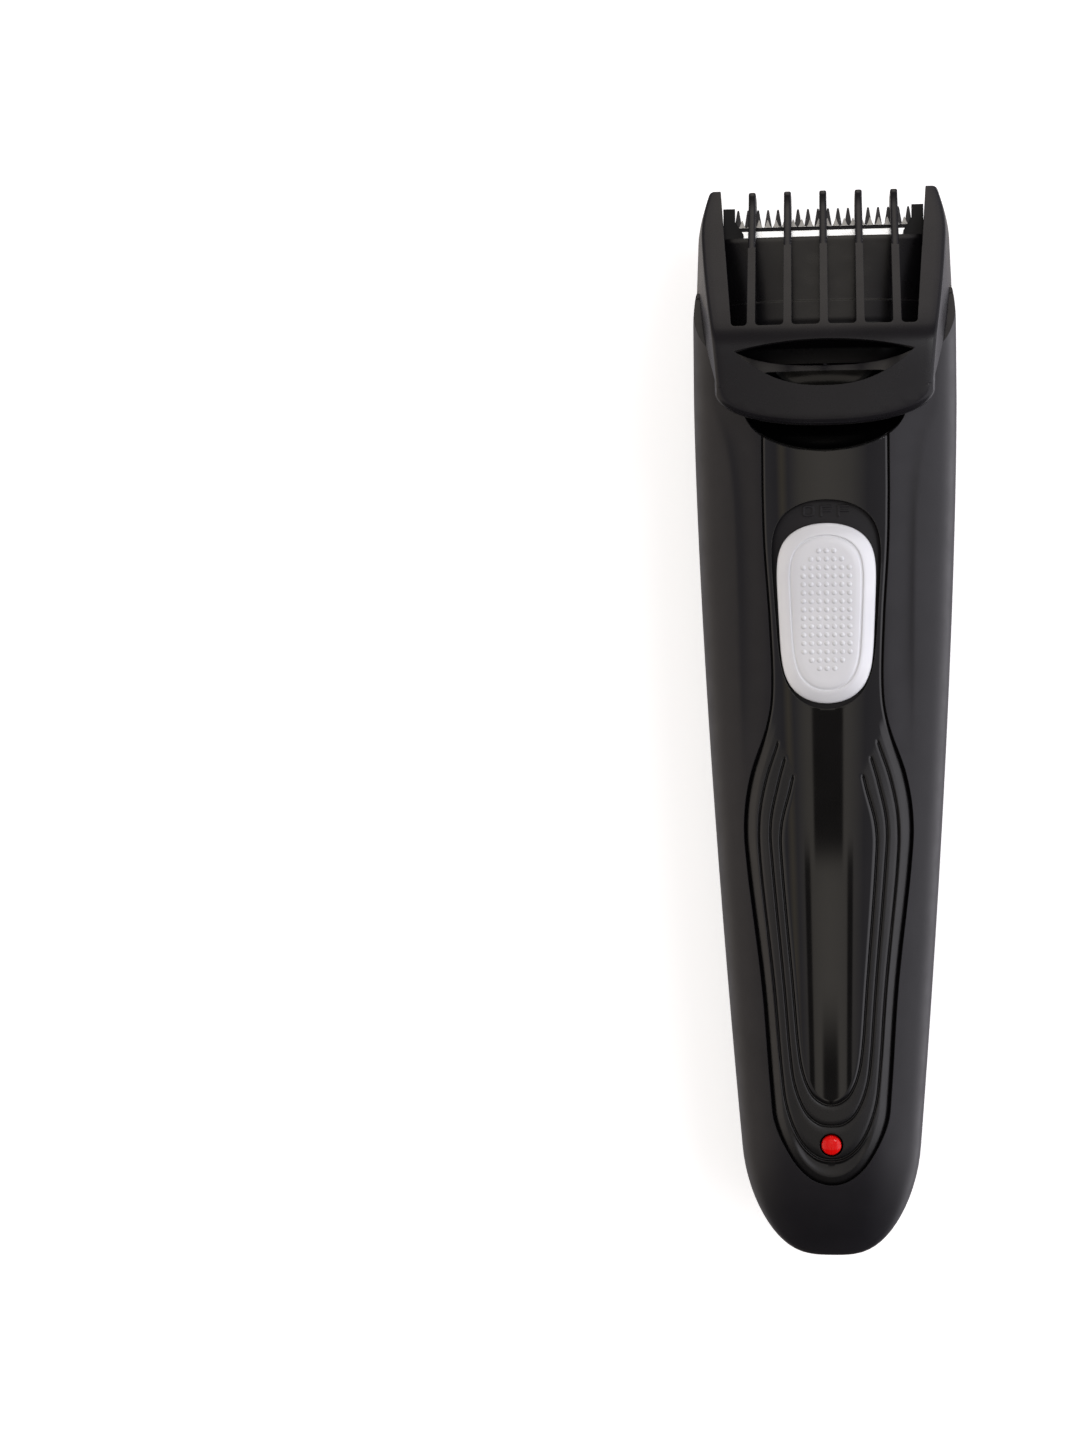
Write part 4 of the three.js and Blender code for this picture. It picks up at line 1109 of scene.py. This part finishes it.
def cutting_head():
    head = head_form(0, HEAD_FLOOR_Z, HEAD_FACE_Y)
    join(head, middle_block(HEAD_HALF_WIDTH, MOUTH_Y + GAP, HEAD_FACE_Y, BLADE_Z, 15.4))
    cut(head, head_form(HEAD_WALL, HEAD_FLOOR_Z + HEAD_WALL, HEAD_FACE_Y - 1.2, 96))
    for side in (-1, 1):
        join(head, rod(2.2, side * BLADE_SCREWS_X, BLADE_SCREW_Y, 13, 18), side_guard(side))
        cut(head, rod(1.2, side * BLADE_SCREWS_X, BLADE_SCREW_Y, 10, 16.5))
    cut(head, middle_block(fixed_high.x + GAP, 60, 90, 0, BLADE_TOP_Z + GAP),
        middle_block(14.5, moving_low.y - GAP, 90, 12, CUTTER_TOP_Z + GAP),
        middle_block(5.75, 50, 73.5, 12, 15.2), middle_block(10.3, 71.6, 73.5, 12, 15.2))
    return settle(head, "cutting_head", "housing", HEAD_PLASTIC, ["head_housing"])


# ---------- blades ----------


def tooth_row(half_width, back_y, root_y, tip_y, teeth, pitch, tip_share, root_share=0.34, gullet=0.3):
    """A blade's outline with rounded gullets between its tapered teeth."""
    points = [(-half_width, back_y), (half_width, back_y), (half_width, root_y)]
    for i in range(teeth):
        centre = ((teeth - 1) / 2 - i) * pitch
        root, tip = root_share * pitch, tip_share * pitch
        lean = (root - tip) * gullet / (tip_y - root_y)
        points += [(centre + root + gullet * 0.4, root_y), (centre + root - lean, root_y + gullet)]
        points += [(centre + tip, tip_y - tip), (centre + tip * 0.5, tip_y)]
        points += [(centre - tip * 0.5, tip_y), (centre - tip, tip_y - tip)]
        points += [(centre - root + lean, root_y + gullet), (centre - root - gullet * 0.4, root_y)]
    return points + [(-half_width, root_y)]


def fixed_cutter():
    """The fixed comb blade, its teeth thinned towards their points."""
    root_y = 76.4
    outline = tooth_row(fixed_high.x, fixed_low.y, root_y, BLADE_TIP_Y, 18, 1.55, 0.11, 0.43, 0.2)
    blade = prism(outline, BLADE_Z, BLADE_TOP_Z)
    for vertex in blade.data.vertices:
        run = max(0, vertex.co.y - root_y - 0.4) / (BLADE_TIP_Y - root_y)
        middle = (BLADE_Z + BLADE_TOP_Z) / 2
        vertex.co.z = middle + (vertex.co.z - middle) * (1 - 0.55 * run)
    for side in (-1, 1):
        cut(blade, rod(1.2, side * BLADE_SCREWS_X, BLADE_SCREW_Y, 0, 20, 32))
    return settle(blade, "blade_fixed_comb", "housing", DARK_STEEL, ["fixed_blade"], sharp=25)


def moving_cutter():
    """The moving blade: a polished body, a ground step painted near black as shade, and triangular teeth."""
    root_y = 76.7
    outline = tooth_row(moving_high.x, moving_low.y, root_y, moving_high.y, 20, 1.32, 0.07)
    blade = prism(outline, CUTTER_Z, CUTTER_TOP_Z)
    for vertex in blade.data.vertices:
        if vertex.co.z > CUTTER_TOP_Z - 0.01:
            vertex.co.z -= 0.25 * max(0, vertex.co.y - root_y)
    cut(blade, block(-40, 40, root_y - 0.62, root_y - 0.02, CUTTER_TOP_Z - 0.3, CUTTER_TOP_Z + 1))
    # Painted shade: the strip at the step by the teeth's foot is painted near black for the shadowed gap
    # between the moving and the fixed blade.
    mark_faces(blade, "dark", lambda place: root_y - 0.65 < place.y < root_y and place.z > CUTTER_Z + 0.05)
    return settle(blade, "blade_moving_cutter", "cutter", STEEL, ["moving_blade"], sharp=25)


# ---------- assembly ----------

KEPT_NODES = [
    (NICKEL, "motor_can battery_tab_positive battery_tab_negative blade_screw_left blade_screw_right"),
    (STEEL, "motor_shaft blade_spring usb_socket"),
    (DARK_STEEL, "case_screw_foot case_screw_middle motor_armature"),
    (MAGNET, "motor_magnet_left motor_magnet_right"),
    (CREAM, "motor_end_cap switch_carrier blade_carriage eccentric_cam charge_led"),
    (INNER_BLACK, "motor_mount switch_block"),
    (BOARD, "circuit_board"),
    (WRAP, "battery_cell"),
    (LEAD_RED, "motor_lead_red"),
    (LEAD_BLACK, "motor_lead_black"),
]

front_casing()
rear_casing()
gloss_panel()
status_lens()
slide_button()
length_comb()
cutting_head()
fixed_cutter()
moving_cutter()
for material, nodes in KEPT_NODES:
    for node in nodes.split():
        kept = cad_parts[node].data
        kept.materials.clear()
        kept.materials.append(material)


# ---------- floor, light and camera ----------

CAMERA_HEIGHT = 0.444
FRAME_HEIGHT_AT_MIDDLE = 0.2235
MIDDLE_Z = 0.014
ROLL_DEG, CAMERA_Y = 0.52, -0.0001
FRAME_OFFSET = 0.1997           # the clipper lies this share of the frame's height right of its middle
FLOOR_HALF = 8


def floor():
    corners = ((-1, -1), (1, -1), (1, 1), (-1, 1))
    vertices = [(x * FLOOR_HALF, y * FLOOR_HALF, cad_low.z) for x, y in corners]
    plane = new_piece("floor", vertices, [(0, 1, 2, 3)])
    finish = Finish("floor_white", Roughness=0.9, Emission_Strength=0.62, Emission_Color=(1, 1, 1, 1))
    finish.link("Base Color", finish.blend(finish.noise(60, 2), (0.9, 0.9, 0.9), (0.93, 0.93, 0.93)))
    plane.data.materials.append(finish.done())
    plane.visible_glossy = False


def softbox(name, place, aim, width, length, power, colour=(1, 1, 1)):
    light = bpy.data.lights.new(name, "AREA")
    light.shape, light.size, light.size_y = "RECTANGLE", width, length
    light.energy, light.color = power, colour
    lamp = in_scene(name, light)
    lamp.location = place
    lamp.rotation_euler = (Vector(aim) - Vector(place)).to_track_quat("-Z", "Y").to_euler()


# The light tent's tone from its left wall over the top to its right wall, dimmest to brightest.
TENT = [(0.0, (0.6, 0.54, 0.49)), (0.07, (0.44, 0.41, 0.39)), (0.16, (0.27, 0.26, 0.27)),
        (0.27, (0.2, 0.19, 0.21)), (0.31, (0.42, 0.37, 0.29)), (0.35, (0.22, 0.21, 0.23)),
        (0.42, (0.42, 0.39, 0.35)), (0.5, (0.53, 0.49, 0.44)), (0.58, (0.44, 0.41, 0.38)),
        (0.68, (0.22, 0.21, 0.23)), (0.82, (0.26, 0.25, 0.27)), (0.88, (0.75, 0.73, 0.78)),
        (0.95, (1.05, 1.02, 1.08)), (1.0, (0.9, 0.88, 0.93))]
TENT_STRENGTH = 2.0
# The dark openings, in the direction's parts: how far each reaches to the side and along the handle.
MIDDLE_SIDE, MIDDLE_START, MIDDLE_END = (0.05, 0.072), (-0.14, -0.115), (-0.035, -0.02)
EDGE_AT, EDGE_SIDE, EDGE_START, EDGE_END = 0.115, (0.014, 0.034), (-0.32, -0.27), (-0.14, -0.11)
WEDGE_SIDE, WEDGE_END = (0.015, 0.045), (-0.25, -0.19)
# Where the tent's light changes, and by how much: low down, over the blades and over the foot.
LOW_UP, BLADES_ALONG, BLADES_GLOW_ALONG, FOOT_ALONG = (-0.12, 0.05), (0.27, 0.5), (0.8, 0.97), (-0.6, -0.42)
OPENING_LIGHT, LOW_LIGHT, BLADES_LIGHT, BLADES_GLOW, FOOT_LIGHT = 0.1, 0.7, 0.42, 5, 0.15


def tent_light(tree, across, along, up):
    """The tent's strength in each direction."""
    def fade(value, limits, low=1.0, high=0.0):
        inputs = {"Value": value, "From Min": limits[0], "From Max": limits[1], "To Min": low, "To Max": high}
        return add_node(tree, "ShaderNodeMapRange", inputs, interpolation_type="SMOOTHSTEP").outputs[0]

    def product(*values):
        return calculate(tree, "MULTIPLY", *values)

    def size(value):
        return add_node(tree, "ShaderNodeMath", {0: value}, operation="ABSOLUTE").outputs[0]

    side = size(across)
    beside = size(calculate(tree, "SUBTRACT", side, EDGE_AT))
    middle = product(fade(side, MIDDLE_SIDE), fade(along, MIDDLE_START, 0, 1), fade(along, MIDDLE_END))
    edges = product(fade(beside, EDGE_SIDE), fade(along, EDGE_END), fade(along, EDGE_START, 0, 1))
    wedge = product(fade(side, WEDGE_SIDE), fade(along, WEDGE_END))
    opening = calculate(tree, "MAXIMUM", middle, edges, wedge)
    return product(fade(opening, (0, 1), 1, OPENING_LIGHT), fade(up, LOW_UP, LOW_LIGHT, 1),
                   fade(along, BLADES_ALONG, 1, BLADES_LIGHT), fade(along, BLADES_GLOW_ALONG, 1, BLADES_GLOW),
                   fade(along, FOOT_ALONG, FOOT_LIGHT, 1), TENT_STRENGTH)


def surroundings():
    """A light tent with dark openings and a dim lower half."""
    world = bpy.data.worlds.new("light_tent")
    world.use_nodes = True
    tree = world.node_tree
    place = add_node(tree, "ShaderNodeTexCoord").outputs["Generated"]
    across, along, up = add_node(tree, "ShaderNodeSeparateXYZ", {0: place}).outputs
    share = add_node(tree, "ShaderNodeMapRange", {"Value": across, "From Min": -1, "From Max": 1},
                     interpolation_type="SMOOTHSTEP").outputs[0]
    ramp = add_node(tree, "ShaderNodeValToRGB", {0: share})
    stops = ramp.color_ramp.elements
    while len(stops) < len(TENT):
        stops.new(0.5)
    for stop, (position, colour) in zip(stops, TENT):
        stop.position, stop.color = position, (*colour, 1)
    background = tree.nodes["Background"]
    tree.links.new(ramp.outputs[0], background.inputs["Color"])
    tree.links.new(tent_light(tree, across, along, up), background.inputs["Strength"])
    bpy.context.scene.world = world


def camera():
    data = bpy.data.cameras.new("camera")
    data.sensor_width = 36
    distance = CAMERA_HEIGHT - MIDDLE_Z
    turn = math.asin(FRAME_OFFSET * FRAME_HEIGHT_AT_MIDDLE / distance)
    data.lens = data.sensor_width * distance * math.cos(turn) / FRAME_HEIGHT_AT_MIDDLE
    data.clip_start, data.clip_end = 0.01, 20
    eye = in_scene("camera", data)
    aim = Matrix.Rotation(math.radians(-ROLL_DEG), 4, "Z") @ Matrix.Rotation(turn, 4, "Y")
    eye.matrix_world = Matrix.Translation((0, CAMERA_Y, CAMERA_HEIGHT)) @ aim
    bpy.context.scene.camera = eye


floor()
softbox("high_light", (0.35, 0.3, 0.8), (0, 0, 0), 0.2, 0.2, 0.8)
softbox("blade_light", (0, 0.2, 0.6), (0, 0.075, 0.013), 0.35, 0.06, 0.06, (0.9, 0.95, 1))
surroundings()
camera()
bpy.context.scene.view_settings.view_transform = "Standard"
